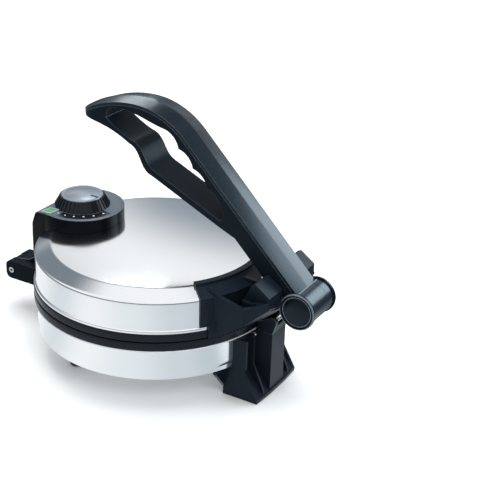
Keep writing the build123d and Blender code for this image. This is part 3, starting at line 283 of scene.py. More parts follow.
def blend(tree, amount, first, second):
    """The first colour at 0, the second at 1."""
    mixed = place_node(tree, "Mix", {"data_type": "RGBA"}, _0=amount, _6=first, _7=second)
    return mixed.outputs[2]


tree, given = start_group(
    "speckle",
    {
        "Tone": (COLOR, (0.1, 0.1, 0.1, 1)),
        "Fleck": (COLOR, (0.2, 0.2, 0.2, 1)),
        "Fleck Size": (FLOAT, 900.0),
        "Share": (FLOAT, 0.35),
        "Rough": (FLOAT, 0.6),
    },
)
spot = place_in_space(tree)
flecks = place_node(tree, "TexVoronoi", Vector=spot, Scale=given["Fleck Size"], Randomness=1.0)
cloud = place_node(tree, "TexNoise", Vector=spot, Scale=CLOUD_SCALE, Detail=5.0).outputs["Fac"]
near = calculate(tree, "LESS_THAN", flecks.outputs["Distance"], given["Share"])
amount = calculate(tree, "MULTIPLY", near, cloud)
roughness = calculate(tree, "MULTIPLY_ADD", cloud, CLOUD_ROUGH, given["Rough"])
close_group(tree, blend(tree, amount, given["Tone"], given["Fleck"]), roughness, amount)

# %% [markdown]
# ## Finishes
# A finish is one Principled shader. Each could be wired by hand, but they differ only in their
# numbers: a group feeds the colour, the roughness and the bump, and what is the same all over is
# set on the shader itself. So one function makes them all.

# %% Make a finish from an effect
BUMP_REACH = 0.0002


def finish(name, effect, facts, bump, reach=BUMP_REACH, **sockets):
    """A material whose colour, roughness and bump come from one effect group."""
    material = bpy.data.materials.new(name)
    material.use_nodes = True
    tree = material.node_tree
    shader = tree.nodes["Principled BSDF"]
    group = tree.nodes.new("ShaderNodeGroup")
    group.node_tree = bpy.data.node_groups[effect]
    for label, value in facts.items():
        group.inputs[label].default_value = value
    tree.links.new(group.outputs["Color"], shader.inputs["Base Color"])
    tree.links.new(group.outputs["Roughness"], shader.inputs["Roughness"])
    height = group.outputs["Height"]
    raised = place_node(tree, "Bump", Strength=bump, Distance=reach, Height=height)
    tree.links.new(raised.outputs["Normal"], shader.inputs["Normal"])
    for label, value in sockets.items():
        shader.inputs[label.replace("_", " ")].default_value = value
    return material


# %% [markdown]
# ## Plastics
# The brackets, rings, handle and dial are moulded in near-black plastic, each with its own gloss:
# dull at the hinge, satin on the handle, glossy on the barrel and the housing. Edges are paler, a
# painted highlight along their rounds. The tone of a black moulding says little, so most of the
# difference is made by how strong and how blue its shine is. The dial plate is blue-grey, and the
# print on it white and teal.

# %% Mix the plastics


def moulding(name, colour, rough, grain, bump, spread=0.08, patchy=0.12, shine=0.5, **sockets):
    """A plastic: its grain's size and depth, and how uneven its roughness and its tone are."""
    facts = {"Tone": tone(*colour), "Rough": rough, "Grain Size": grain}
    facts |= {"Rough Spread": spread, "Tone Spread": patchy}
    return finish(name, "moulded grain", facts, bump, Specular_IOR_Level=shine, **sockets)


COOL = {"Specular_Tint": tone(0.68, 0.86, 1.0)}
LACQUER = {"Coat_Weight": 0.3, "Coat_Roughness": 0.05}
satin_black = moulding(
    "satin black moulding", (0.008, 0.012, 0.019), 0.36, grain=1500, bump=0.10, shine=0.17, **COOL
)
hinge_black = moulding(
    "hinge moulding", (0.005, 0.008, 0.013), 0.40, grain=1500, bump=0.10, shine=0.04, **COOL
)
# A paler tone for the rounds: a painted highlight along the edges.
painted_edge_highlight = moulding(
    "painted edge highlight", (0.12, 0.145, 0.17), 0.26, grain=1500, bump=0.04, shine=0.80, **COOL
)
handle_black = moulding(
    "handle moulding", (0.006, 0.011, 0.017), 0.34, 1900, 0.08, spread=0.05, shine=0.14, **COOL
)
roof_facts = {"spread": 0.02, "patchy": 0.05, "shine": 0.52}
handle_roof = moulding(
    "handle roof", (0.009, 0.014, 0.020), 0.25, grain=2100, bump=0.05, **roof_facts, **COOL
)
barrel_gloss = moulding(
    "barrel moulding", (0.006, 0.010, 0.016), 0.26, 2100, 0.05, spread=0.02, shine=0.90, **COOL
)
cap_black = moulding(
    "hub cap moulding", (0.005, 0.008, 0.013), 0.22, 2100, 0.04, spread=0.02, shine=0.24, **COOL
)
ring_black = moulding(
    "ring moulding", (0.006, 0.009, 0.015), 0.30, grain=1300, bump=0.06, shine=0.20
)
housing_black = moulding(
    "gloss black housing", (0.003, 0.004, 0.006), 0.24, 900, 0.02, spread=0.02, shine=0.06
)
dial_plate_grey = moulding("dial plate", (0.085, 0.11, 0.14), 0.34, grain=2200, bump=0.10)
knob_black = moulding("knob skirt", (0.006, 0.009, 0.013), 0.30, grain=1700, bump=0.06, shine=0.22)
scale_black = moulding("scale print", (0.006, 0.006, 0.008), 0.24, grain=2600, bump=0.03)
dot_white = moulding("dot print", (0.86, 0.88, 0.88), 0.4, grain=2600, bump=0.03)
dot_teal = moulding("teal print", (0.03, 0.30, 0.26), 0.4, grain=2600, bump=0.03)
lens_frame = moulding("lens frame", (0.42, 0.50, 0.47), 0.3, grain=1500, bump=0.05)
green_lens = moulding(
    "green lens", (0.055, 0.34, 0.10), 0.22, grain=400, bump=0.05, patchy=0.5, **LACQUER
)
print("materials with the plastics:", len(bpy.data.materials))

# %% [markdown]
# ## Turned and rolled metals
# The two covers are polished stainless steel, with the rim's bead duller than the rest, the bottom
# and the heat shields are plain rolled aluminium, and the knob has a satin grey cap. All carry the
# lathe lines. The cap is only part metal, because a plastic scatters some light under its shine.
# The bead is only part metal too, and pale: a painted highlight for the rim's thin line of light.

# %% Mix the metals with lathe lines
steel = {"Middle": (axis.x, axis.y, 0.0), "Tone": tone(0.905, 0.915, 0.925), "Rough": 0.14}
# The bead's pale tone and low metal are a painted highlight for the rim's thin line of light.
bead = steel | {"Tone": tone(0.78, 0.82, 0.86), "Rough": 0.35}
mill = steel | {"Tone": tone(0.70, 0.71, 0.72), "Rough": 0.34, "Lines": 900.0}
cap = {"Middle": (dial.x, dial.y, 0.0), "Tone": tone(0.33, 0.38, 0.43), "Rough": 0.3}
cap["Lines"] = 3200.0
polished_steel = finish("polished steel", "lathe lines", steel, 0.05, 0.00006, Metallic=1.0)
painted_rim_highlight = finish("painted rim highlight", "lathe lines", bead, 0.05, 0.00005, Metallic=0.25)
mill_aluminium = finish("mill aluminium", "lathe lines", mill, 0.1, 0.0001, Metallic=1.0)
knob_grey = finish("knob cap", "lathe lines", cap, 0.08, 0.00005, Metallic=0.55)
print("lined metals:", [polished_steel.name, painted_rim_highlight.name, mill_aluminium.name, knob_grey.name])

# %% [markdown]
# ## Speckled skins
# Screws, pins and studs are bright zinc, the heating elements are scorched steel, and the plates
# have a non-stick coat with fine glints. The foot pads are rubber and the terminal block is
# ceramic. A plain colour would do for most of them at this size, but the lid opens, and then the
# plates fill the view.

# %% Mix the speckled skins


def speckled(name, colour, fleck, size, rough, bump, reach=BUMP_REACH, metallic=0.0, share=0.35):
    """A skin of two tones: the ground, and flecks of this size over a share of it."""
    facts = {"Tone": tone(*colour), "Fleck": tone(*fleck), "Fleck Size": size, "Rough": rough}
    return finish(name, "speckle", facts | {"Share": share}, bump, reach, Metallic=metallic)


zinc, spangle = (0.66, 0.67, 0.68), (0.75, 0.74, 0.70)
sheath, scorch = (0.30, 0.28, 0.26), (0.18, 0.15, 0.13)
coating, glint = (0.022, 0.022, 0.024), (0.16, 0.16, 0.17)
rubber, dust = (0.014, 0.014, 0.015), (0.045, 0.045, 0.047)
ceramic, stain = (0.82, 0.80, 0.75), (0.70, 0.67, 0.60)
bright_zinc = speckled(
    "bright zinc", zinc, spangle, size=420, rough=0.2, bump=0.05, reach=0.00005, metallic=1.0
)
element_steel = speckled(
    "element sheath", sheath, scorch, size=300, rough=0.42, bump=0.15, reach=0.0001, metallic=0.9
)
plate_coat = speckled(
    "non-stick coat", coating, glint, size=700, rough=0.38, bump=0.12, reach=0.0001, share=0.25
)
foot_rubber = speckled("foot rubber", rubber, dust, size=1400, rough=0.7, bump=0.2)
terminal_ceramic = speckled("terminal ceramic", ceramic, stain, size=900, rough=0.45, bump=0.08)
print("materials with the speckled skins:", len(bpy.data.materials))

# %% [markdown]
# ## First coat
# Every piece that came with the frame gets its finish here, also the ones inside the shell, which
# show only when the lid is open or in a section. A list of names for each finish is easier to check
# than a line for each piece.

# %% Give each piece its finish
coats = {
    polished_steel: "lower_shell lid_cover",
    ring_black: "lower_ring upper_ring",
    satin_black: "front_bracket catch_block lid_bracket rear_feet hub_cap_left hub_cap_right",
    hinge_black: "rear_hinge_bracket lid_hinge_lug",
    handle_black: "handle_frame",
    handle_roof: "handle_cover",
    housing_black: "dial_housing",
    dial_plate_grey: "dial_cover",
    scale_black: "dial_scale knob_pointer",
    knob_black: "knob_skirt",
    knob_grey: "knob_cap",
    green_lens: "pilot_lens",
    plate_coat: "lower_plate upper_plate",
    element_steel: "lower_element upper_element",
    bright_zinc: "catch_bar front_bracket_screws hinge_pin rear_bracket_screws lower_plate_studs"
    " upper_plate_studs lid_bracket_screws handle_shaft thermostat_shaft thermostat_body",
    mill_aluminium: "bottom_cover lower_heat_shield upper_heat_shield",
    foot_rubber: "foot_pads cord_gland",
    terminal_ceramic: "terminal_block",
}


def coat(piece, *materials):
    piece.data.materials.clear()
    for material in materials:
        piece.data.materials.append(material)


for material, names in coats.items():
    for name in names.split():
        coat(nodes[name], material)
print("coated:", sum(len(names.split()) for names in coats.values()), "of", len(nodes))

# %% [markdown]
# ## Piece helpers
# New pieces stand for nodes of the frame. They could be parented to them, but the frame's bodies
# move by themselves, so a piece takes the node's body instead, gets its own materials, and the node
# it replaces is hidden. The object stays at the origin, with the shape's place in its mesh, as the
# nodes have.

# %% Make a piece
bodies = frame["record"]["behaviour"]["bodies"]
node_body = {name: body for body, names in bodies.items() for name in names}


def make_piece(name, shape, node, *materials, replaced=None, sharp=32.0):
    """Turn a bmesh into an object that rides with a node's body, with these materials."""
    mesh = bpy.data.meshes.new(name)
    piece = bpy.data.objects.new(name, mesh)
    bpy.context.collection.objects.link(piece)
    coat(piece, *materials)
    shape.to_mesh(mesh)
    shape.free()
    mesh.polygons.foreach_set("use_smooth", [True] * len(mesh.polygons))
    mesh.set_sharp_from_angle(angle=math.radians(sharp))
    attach(piece, node_body[node])
    if replaced is None or replaced:
        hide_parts(*(replaced or [node]))
    return piece


print("bodies:", {body: len(names) for body, names in bodies.items()})

# %% [markdown]
# ## Softened mouldings
# No moulding has knife edges: each edge has a small round that catches a thin line of light, and
# those lines are much of what makes a black moulding readable. A Bevel modifier would round the
# seams between the solid's triangles too, so a copy of the solid is merged, its flat faces are
# joined, and only the sharp edges are bevelled. Its own flats and curves stay where they are. Each
# face carries a number that picks one of the piece's finishes: the flats, the rounds, or a third.
# Most rounds take a paler finish than the flats, a painted highlight along each edge.

# %% Round edges and mark faces
FLAT, EDGE, THIRD = 0, 1, 2
JOIN = 0.01 * MM


def merge(shape):
    bmesh.ops.remove_doubles(shape, verts=shape.verts, dist=JOIN)
    bmesh.ops.dissolve_degenerate(shape, edges=shape.edges, dist=JOIN)


def round_edges(shape, edges, width, segments):
    """Bevel these edges by this many millimetres, and give the new faces."""
    return bmesh.ops.bevel(
        shape,
        geom=edges,
        offset=width * MM,
        offset_type="OFFSET",
        segments=segments,
        profile=0.5,
        affect="EDGES",
        clamp_overlap=True,
        material=-1,
    )["faces"]


def mark(faces, number):
    for face in faces:
        face.material_index = number


# %% Choose the rounds, in millimetres, and their finishes
SOFTENED = {
    "front_bracket": 0.8,
    "catch_block": 0.6,
    "rear_hinge_bracket": 0.7,
    "lid_bracket": 0.7,
    "lid_hinge_lug": 0.6,
    "handle_frame": 1.1,
    "handle_cover": 0.8,
    "dial_housing": 0.5,
    "dial_cover": 0.5,
    "cord_gland": 0.4,
    "bottom_cover": 0.3,
    "rear_feet": 0.5,
}
EDGE_FINISH = {
    "dial_housing": housing_black,
    "dial_cover": dial_plate_grey,
    "cord_gland": foot_rubber,
    "bottom_cover": mill_aluminium,
}
THIRD_FINISH = {
    "handle_frame": barrel_gloss,
    "dial_cover": housing_black,
    "handle_cover": scale_black,
}
print("mouldings to soften:", len(SOFTENED))

# %% Soften a solid
SAME_PLANE = math.radians(0.4)
SHARP_EDGE = math.radians(35.0)


def soften(node, width):
    """A merged copy of a node's mesh with its sharp edges rounded by this many millimetres."""
    shape = bmesh.new()
    shape.from_mesh(nodes[node].data)
    merge(shape)
    whole = {"verts": shape.verts, "edges": shape.edges}
    bmesh.ops.dissolve_limit(shape, angle_limit=SAME_PLANE, delimit={"NORMAL"}, **whole)
    edges = [e for e in shape.edges if e.is_manifold and e.calc_face_angle(0.0) > SHARP_EDGE]
    mark(round_edges(shape, edges, width, 2), EDGE)
    return shape


# %% Find the barrel and the ridge
BARREL_R = 17.2
RIDGE_ANGLES = (0.17, 0.35)
RIDGE_OFF_MIDDLE = 0.1


def off_pivot(face):
    """How far a face's middle lies from the handle's pivot line, in millimetres."""
    spoke = face.calc_center_median() - pivot
    return math.hypot(spoke.y, spoke.z) / MM


def on_ridge(edge):
    low, high = RIDGE_ANGLES
    if not edge.is_manifold or not low < edge.calc_face_angle(0.0) < high:
        return False
    return all(abs(v.co.x) < RIDGE_OFF_MIDDLE * MM for v in edge.verts)


# %% Soften every moulding
CRISP = 13.0
RIDGE_LINE = 1.1
FACING_UP = 0.9
for node, width in SOFTENED.items():
    shape = soften(node, width)
    if node == "handle_frame":
        # The barrel is polished by the hand more than the arm's flanks
        flats = [f for f in shape.faces if f.material_index == FLAT]
        mark([f for f in flats if off_pivot(f) < BARREL_R], THIRD)
    if node == "dial_cover":
        # Only the plate's top is grey: the walls are black like the housing
        mark([f for f in shape.faces if f.normal.z < FACING_UP], THIRD)
    if node == "handle_cover":
        # A fine dark line runs down the ridge
        mark(round_edges(shape, [e for e in shape.edges if on_ridge(e)], RIDGE_LINE, 1), THIRD)
    # Most rounds take the paler finish, a painted highlight along the edge.
    edge = EDGE_FINISH.get(node, painted_edge_highlight)
    layers = [nodes[node].data.materials[0], edge, THIRD_FINISH.get(node, edge)]
    piece = make_piece("soft_" + node, shape, node, *layers, sharp=CRISP)
    print("%-20s %6d faces" % (node, len(piece.data.polygons)))

# %% [markdown]
# ## Turned pieces
# The covers are spun from sheet on a lathe, and the rings, caps and knob are round too. The solids
# could be smoothed, but their triangles would still show as flats on polished metal. So each round
# piece is turned again from its outline with many more steps: a few points of a section are spun
# about the axis, and rims that are rounded on the real piece are bevelled loops.

# %% Turn a section
UPRIGHT = Vector((0, 0, 1))
ACROSS = Vector((1, 0, 0))
STEPS = 180
FEW_STEPS = 96
RIM_HEIGHT_SLACK = 0.02
RIM_RADIUS_SLACK = 0.05


def turned(outline, centre, spindle, steps=STEPS, rims=()):
    """Spin a closed outline of (radius, place along the spindle), then round its rims.

    A rim is (radius, place along the spindle, width of its round, segments). All are in
    millimetres.
    """
    shape = bmesh.new()
    out = spindle.orthogonal().normalized()
    points = [shape.verts.new(centre + out * r * MM + spindle * t * MM) for r, t in outline]
    lines = [shape.edges.new(pair) for pair in zip(points, points[1:] + points[:1])]
    spin = {"cent": centre, "axis": spindle, "angle": math.tau, "steps": steps}
    bmesh.ops.spin(shape, geom=points + lines, use_merge=True, **spin)
    merge(shape)
    bmesh.ops.recalc_face_normals(shape, faces=shape.faces)

    def on_rim(vertex, radius, along):
        spot = vertex.co - centre
        height = spot.dot(spindle)
        reach = (spot - spindle * height).length
        level = abs(height / MM - along) < RIM_HEIGHT_SLACK
        return level and abs(reach / MM - radius) < RIM_RADIUS_SLACK

    for radius, along, width, segments in rims:
        loop = [e for e in shape.edges if all(on_rim(v, radius, along) for v in e.verts)]
        round_edges(shape, loop, width, segments)
    return shape


# %% [markdown]
# ## The lid and the lower shell
# Both are thin polished sheet. The lid has a small flange, a nearly straight wall, a rounded
# shoulder, a sloping band and a crease, inside which the disc is only slightly domed. Shading that
# runs smoothly from a round into a flat would bend the light on the flat, so a point close beside
# each round holds it still. The shell is a pan with a round lower edge. All sizes in the outlines
# are millimetres, and most are measured inwards from the rings and down from the crown.

# %% Measure the rings and the lid
SHEET = 1.0
WALL_IN, FLANGE_IN, CREASE_IN, SHOULDER_LEAN = 2.0, 0.7, 17.4, 0.3
SHOULDER_DROP, CREASE_DROP, FLANGE_RISE = 10.0, 2.6, 2.5


def heights(node):
    """The lowest and highest place of a node, in millimetres."""
    low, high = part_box(node)
    return low.z / MM, high.z / MM


round_axis = Vector((axis.x, axis.y, 0.0))
lid_low, lid_high = heights("lid_cover")
rings_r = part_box("lower_ring")[1].x / MM
wall_r, flange_r, crease_r = rings_r - WALL_IN, rings_r - FLANGE_IN, rings_r - CREASE_IN
shoulder_r = wall_r - SHOULDER_LEAN
shoulder_z, crease_z = lid_high - SHOULDER_DROP, lid_high - CREASE_DROP
flange_z = lid_low + FLANGE_RISE
slope = (crease_z - shoulder_z) / (shoulder_r - crease_r)
print("rings r %.1f, lid z %.1f to %.1f" % (rings_r, lid_low, lid_high))

# %% Turn the lid
DISC_RADII = (0.0, 20.0, 40.0, 60.0, 80.0, 95.0)
BESIDE = 1.7


def dome_height(radius):
    """The disc's height at this radius: a very flat dome between its crown and its crease."""
    return lid_high - (lid_high - crease_z) * (radius / crease_r) ** 2


disc = [(r, dome_height(r)) for r in DISC_RADII + (crease_r - BESIDE,)]
lid_outline = disc + [
    (crease_r, crease_z),
    (crease_r + BESIDE, crease_z - BESIDE * slope),
    (wall_r - 2.6, shoulder_z + 2.3 * slope),
    (shoulder_r, shoulder_z),
    (shoulder_r + 0.01, shoulder_z - 2.6),
    (wall_r, lid_low + 3.3),
    (flange_r, flange_z),
    (flange_r, lid_low),
    (flange_r - SHEET, lid_low),
    (shoulder_r - SHEET, shoulder_z - SHEET),
    (crease_r - SHEET, crease_z - SHEET),
    (60.0, dome_height(60.0) - SHEET),
    (0.0, lid_high - SHEET),
]
rims = [
    (crease_r, crease_z, 1.2, 4),
    (shoulder_r, shoulder_z, 1.9, 8),
    (flange_r, flange_z, 0.7, 3),
]
shape = turned(lid_outline, round_axis, UPRIGHT, rims=rims)
piece = make_piece("spun_lid", shape, "lid_cover", polished_steel)
print("spun lid:", len(piece.data.polygons), "faces")

# %% Turn the lower shell
SHELL_IN, LIP_IN, OPENING_IN, LIP_HEIGHT = 3.0, 0.9, 19.0, 1.5
shell_low, shell_high = heights("lower_shell")
shell_r, lip_r = rings_r - SHELL_IN, rings_r - LIP_IN
floor_r = shell_r - OPENING_IN
lip_z = shell_high - LIP_HEIGHT
shell_outline = [
    (floor_r, shell_low),
    (shell_r, shell_low),
    (shell_r, shell_low + 11.0),
    (shell_r, shell_high - 4.0),
    (shell_r, shell_high - 2.0),
    (lip_r, lip_z),
    (lip_r, shell_high),
    (shell_r - SHEET, shell_high),
    (shell_r - SHEET, shell_low + SHEET),
    (floor_r, shell_low + SHEET),
]
rims = [
    (shell_r, shell_low, 9.5, 14),
    (shell_r, shell_high - 2.0, 0.9, 3),
    (lip_r, lip_z, 0.55, 3),
    (lip_r, shell_high, 0.4, 3),
]
shape = turned(shell_outline, round_axis, UPRIGHT, rims=rims)
piece = make_piece("spun_shell", shape, "lower_shell", polished_steel)
print("spun shell:", len(piece.data.polygons), "faces")

# %% [markdown]
# ## The two rings
# A black ring carries each heating plate. Only their outer bands show, with a dark gap between
# them, so each band gets rounded edges that hold a thin light. A narrower skirt reaches from the
# band into the sheet cover. The two rings are nearly mirror images, so one outline serves both.
# The shell's rim is rolled outwards, and a bead stands for it, pale and only part metal: a painted
# highlight, because a rim that thin would catch no light of its own.

# %% Turn the rings
BAND_HEIGHT = 8.4
SKIRT_WALL = 2.2
PLATE_GAP = 0.5
BAND_ROUND = 1.4
IN_SHELL, IN_LID = 1.2, 1.5
skirts = {"lower_ring": shell_r - IN_SHELL, "upper_ring": wall_r - IN_LID}
for node, skirt_r in skirts.items():
    low, high = heights(node)
    in_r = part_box(node.replace("ring", "plate"))[1].x / MM + PLATE_GAP
    # The face lies towards the other ring, the back and the skirt's end away from it
    if node == "lower_ring":
        face_z, back_z, skirt_z = high, high - BAND_HEIGHT, low
    else:
        face_z, back_z, skirt_z = low, low + BAND_HEIGHT, high
    ring_outline = [
        (rings_r, back_z),
        (rings_r, face_z),
        (in_r, face_z),
        (in_r, back_z),
        (skirt_r - SKIRT_WALL, back_z),
        (skirt_r - SKIRT_WALL, skirt_z),
        (skirt_r, skirt_z),
        (skirt_r, back_z),
    ]
    rims = [(rings_r, back_z, BAND_ROUND, 5), (rings_r, face_z, BAND_ROUND, 5)]
    shape = turned(ring_outline, round_axis, UPRIGHT, rims=rims)
    make_piece("turned_" + node, shape, node, ring_black)
    print("%s: band z %.1f to %.1f" % (node, *sorted((face_z, back_z))))

# %% Turn the bead
# Its points are measured from the rings' outer radius and the shell's rim
BEAD = [(-1.6, -1.2), (-1.1, -1.35), (-0.5, -1.3), (-0.15, -1.0), (-0.05, -0.6)]
BEAD += [(-0.15, -0.2), (-0.4, 0.05), (-0.8, 0.12), (-1.6, 0.0)]
bead_outline = [(rings_r + r, shell_high + z) for r, z in BEAD]
shape = turned(bead_outline, round_axis, UPRIGHT)
# The bead's pale finish paints a highlight along the shell's rim.
make_piece("rim_bead", shape, "lower_shell", painted_rim_highlight, replaced=[])
print("bead round z = %.1f mm" % shell_high)

# %% [markdown]
# ## Hub caps
# Gloss black caps close the barrel's ends: a raised rim, a fine inner ring and a gently domed
# middle. They could be drawn as a bump, but the rim stands against the floor and shows its height,
# so they are turned about the handle's shaft. A hairline seam runs round the barrel beside the arm:
# a band only a few hundredths proud, in black.

# %% Turn the hub caps
CAP_OUTLINE = [(0.0, 2.9), (5.0, 2.8), (9.0, 2.45), (12.4, 1.9), (13.3, 1.6), (13.8, 1.6)]
CAP_OUTLINE += [(14.1, 2.15), (14.8, 2.15), (15.1, 1.5), (15.9, 1.5), (16.3, 2.7), (16.8, 3.0)]
CAP_OUTLINE += [(17.4, 2.95), (17.9, 2.4), (18.0, 1.8), (18.0, 0.0), (0.0, 0.0)]
INNER_RING = (14.1, 14.8)
RAISED_RIM = (16.8, 17.95)
RIM_OUT = 21.8


def catches_light(face):
    """The two raised rings of a cap, which take a painted highlight."""
    reach = off_pivot(face)
    on_top = abs(face.calc_center_median().x - pivot.x) / MM > RIM_OUT
    inner, rim = INNER_RING[0] < reach < INNER_RING[1], RAISED_RIM[0] < reach < RAISED_RIM[1]
    return inner or rim and on_top


for node, side in (("hub_cap_left", -1), ("hub_cap_right", 1)):
    low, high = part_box(node)
    inner_x = high.x if side < 0 else low.x
    seat = Vector((inner_x, pivot.y, pivot.z))
    shape = turned(CAP_OUTLINE, seat, ACROSS * side, steps=FEW_STEPS)
    # The rim's top and the inner ring take the paler finish, a painted highlight.
    mark([f for f in shape.faces if catches_light(f)], EDGE)
    make_piece("turned_" + node, shape, node, cap_black, painted_edge_highlight, sharp=40.0)
    print("%s: seated at x = %.1f mm" % (node, inner_x / MM))

# %% Turn the barrel's seam
SEAM_OFF_MIDDLE = 9.5
SEAM_OUTLINE = [(16.2, -0.22), (16.56, -0.22), (16.56, 0.22), (16.2, 0.22)]
shape = turned(SEAM_OUTLINE, pivot + ACROSS * SEAM_OFF_MIDDLE * MM, ACROSS, steps=FEW_STEPS)
make_piece("barrel_seam", shape, "handle_frame", scale_black, replaced=[])
print("seam round x = %.1f mm" % SEAM_OFF_MIDDLE)

# %% [markdown]
# ## Dial print
# White dots are printed on the scale's black arc, growing from stop to stop, and a teal one marks
# off. A painted picture could hold them, but it would blur close up. Very low discs stay sharp at
# any distance.

# %% Print the dots
DOT_ANGLES = (171, 186, 202.5, 219, 236.5, 256)
DOT_CIRCLE = 32.8
FIRST_DOT_R, DOT_GROWTH = 0.75, 0.07
OFF_ANGLE, OFF_CIRCLE, OFF_DOT_R = 6, 33.5, 1.0
DOT_LIFT, DOT_DEPTH, DOT_TAPER = 0.04, 0.12, 0.05
dial_top = Vector((dial.x, dial.y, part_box("dial_cover")[1].z))


def direction(azimuth, elevation):
    """The unit vector towards a compass direction, 0 along +X, and a height angle."""
    a, e = math.radians(azimuth), math.radians(elevation)
    return Vector((math.cos(a) * math.cos(e), math.sin(a) * math.cos(e), math.sin(e)))


def add_dot(shape, angle, circle, radius):
    """A low disc on the dial at a compass angle on a circle. Sizes are millimetres."""
    place = dial_top + UPRIGHT * DOT_LIFT * MM + direction(angle, 0) * circle * MM
    radii = {"radius1": radius * MM, "radius2": (radius - DOT_TAPER) * MM}
    at = Matrix.Translation(place)
    depth = DOT_DEPTH * MM
    bmesh.ops.create_cone(shape, cap_ends=True, segments=20, depth=depth, matrix=at, **radii)


dots = bmesh.new()
for count, angle in enumerate(DOT_ANGLES):
    add_dot(dots, angle, DOT_CIRCLE, FIRST_DOT_R + DOT_GROWTH * count)
make_piece("scale_dots", dots, "dial_scale", dot_white, replaced=[])
dots = bmesh.new()
add_dot(dots, OFF_ANGLE, OFF_CIRCLE, OFF_DOT_R)
make_piece("off_dot", dots, "dial_scale", dot_teal, replaced=[])
print("dots:", len(DOT_ANGLES) + 1, "at z = %.1f mm" % (dial_top.z / MM))

# %% [markdown]
# ## Pilot lens frame
# The green lens sits in a pale raised frame on the housing's sloping rear. A flat square is inset,
# its middle is taken out, what is left is drawn up into a wall, and the edges are rounded. That
# keeps one even wall, which a box with a box cut from it would only have after more steps.

# %% Frame the pilot lens
LENS_SLOPE = math.atan(4.0 / 27.0)
LENS_TURN = -math.atan2(8.5, 40.5)
LENS_SEAT = 1.6
FRAME_SIZE = (12.6, 14.1)
FRAME_WALL, FRAME_HEIGHT, FRAME_ROUND = 1.35, 1.3, 0.25
lens_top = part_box("pilot_lens")[1].z
lens_at = middle("pilot_lens")
lens_at.z = lens_top - LENS_SEAT * MM
tilt = Matrix.Rotation(-LENS_SLOPE, 4, "X") @ Matrix.Rotation(LENS_TURN, 4, "Z")
shape = bmesh.new()
bmesh.ops.create_grid(shape, x_segments=1, y_segments=1, size=0.5)
wide, long = FRAME_SIZE
bmesh.ops.scale(shape, vec=(wide * MM, long * MM, 1.0), verts=shape.verts)
wall = {"thickness": FRAME_WALL * MM, "use_even_offset": True, "use_boundary": True}
walls = bmesh.ops.inset_region(shape, faces=shape.faces[:], **wall)["faces"]
inside = [f for f in shape.faces if f not in walls]
bmesh.ops.delete(shape, geom=inside, context="FACES")
raised = bmesh.ops.extrude_face_region(shape, geom=shape.faces[:])["geom"]
raised_verts = [v for v in raised if isinstance(v, bmesh.types.BMVert)]
bmesh.ops.translate(shape, vec=(0, 0, FRAME_HEIGHT * MM), verts=raised_verts)
bmesh.ops.recalc_face_normals(shape, faces=shape.faces)
square = [e for e in shape.edges if e.calc_face_angle(0.0) > 1.0]
round_edges(shape, square, FRAME_ROUND, 2)
bmesh.ops.transform(shape, matrix=Matrix.Translation(lens_at) @ tilt, verts=shape.verts)
piece = make_piece("pilot_lens_frame", shape, "dial_cover", lens_frame, replaced=[])
frame_top = max(v.co.z for v in piece.data.vertices)
print("lens frame's top is %.2f mm above the lens" % ((frame_top - lens_top) / MM))

# %% [markdown]
# ## Knob cap
# The knob's grey cap has a fine ring groove round its top and a small rounded rim. A groove in the
# bump alone would vanish from the side, so it is part of the turned outline.

# %% Turn the knob's cap
CAP_R = 21.0
cap_low, cap_high = heights("knob_cap")
knob_outline = [
    (0.0, cap_high),
    (17.6, cap_high),
    (18.1, cap_high - 0.35),
    (18.9, cap_high - 0.35),
    (19.4, cap_high - 0.02),
    (20.2, cap_high - 0.05),
    (20.8, cap_high - 0.4),
    (CAP_R, cap_high - 0.9),
    (CAP_R, cap_low),
    (0.0, cap_low),
]
shape = turned(knob_outline, Vector((dial.x, dial.y, 0.0)), UPRIGHT, steps=FEW_STEPS)
make_piece("turned_knob_cap", shape, "knob_cap", knob_grey, sharp=50.0)
print("knob cap z %.1f to %.1f" % (cap_low, cap_high))

# %% [markdown]
# ## Studio
# A white floor and a white surround, as in a packshot. More light would make the floor white too,
# but it would burn out the steel, so the floor glows a little for the camera alone and the lamps
# stay at a plain level. It keeps the cooker's soft shadow, and a painted shade makes it darker
# where something stands close over it.

# %% Lay the floor
FLOOR_HALF = 6.0
FLOOR_DROP = 0.0003
shape = bmesh.new()
bmesh.ops.create_grid(shape, x_segments=1, y_segments=1, size=FLOOR_HALF)
mesh = bpy.data.meshes.new("floor")
shape.to_mesh(mesh)
shape.free()
floor = bpy.data.objects.new("floor", mesh)
floor.location.z = -FLOOR_DROP
bpy.context.collection.objects.link(floor)
white_floor = bpy.data.materials.new("white floor")
white_floor.use_nodes = True
floor.data.materials.append(white_floor)
tree = white_floor.node_tree
shader = tree.nodes["Principled BSDF"]
shader.inputs["Roughness"].default_value = 0.6
shader.inputs["Specular IOR Level"].default_value = 0.2
shader.inputs["Emission Color"].default_value = tone(1.0, 1.0, 1.0)
print("floor:", 2 * FLOOR_HALF, "m wide")

# %% Shade the floor under the cooker, and let it glow for the camera
FLOOR_WHITE, PAINTED_SHADE_GREY = tone(0.90, 0.91, 0.915), tone(0.10, 0.11, 0.12)
CONTACT_REACH = 0.035
CONTACT_OPEN = (0.1, 0.85)
CAMERA_GLOW = (0.16, 0.9)
GLOW_REACH = (0.4, 2.2)


def remap(tree, value, start, end, low=0.0, high=1.0, curve="SMOOTHSTEP"):
    """A value carried from one range to another along a curve."""
    settings = {"interpolation_type": curve}
    span = {"From_Min": start, "From_Max": end, "To_Min": low, "To_Max": high}
    return place_node(tree, "MapRange", settings, Value=value, **span).outputs[0]


rays = place_node(tree, "LightPath").outputs
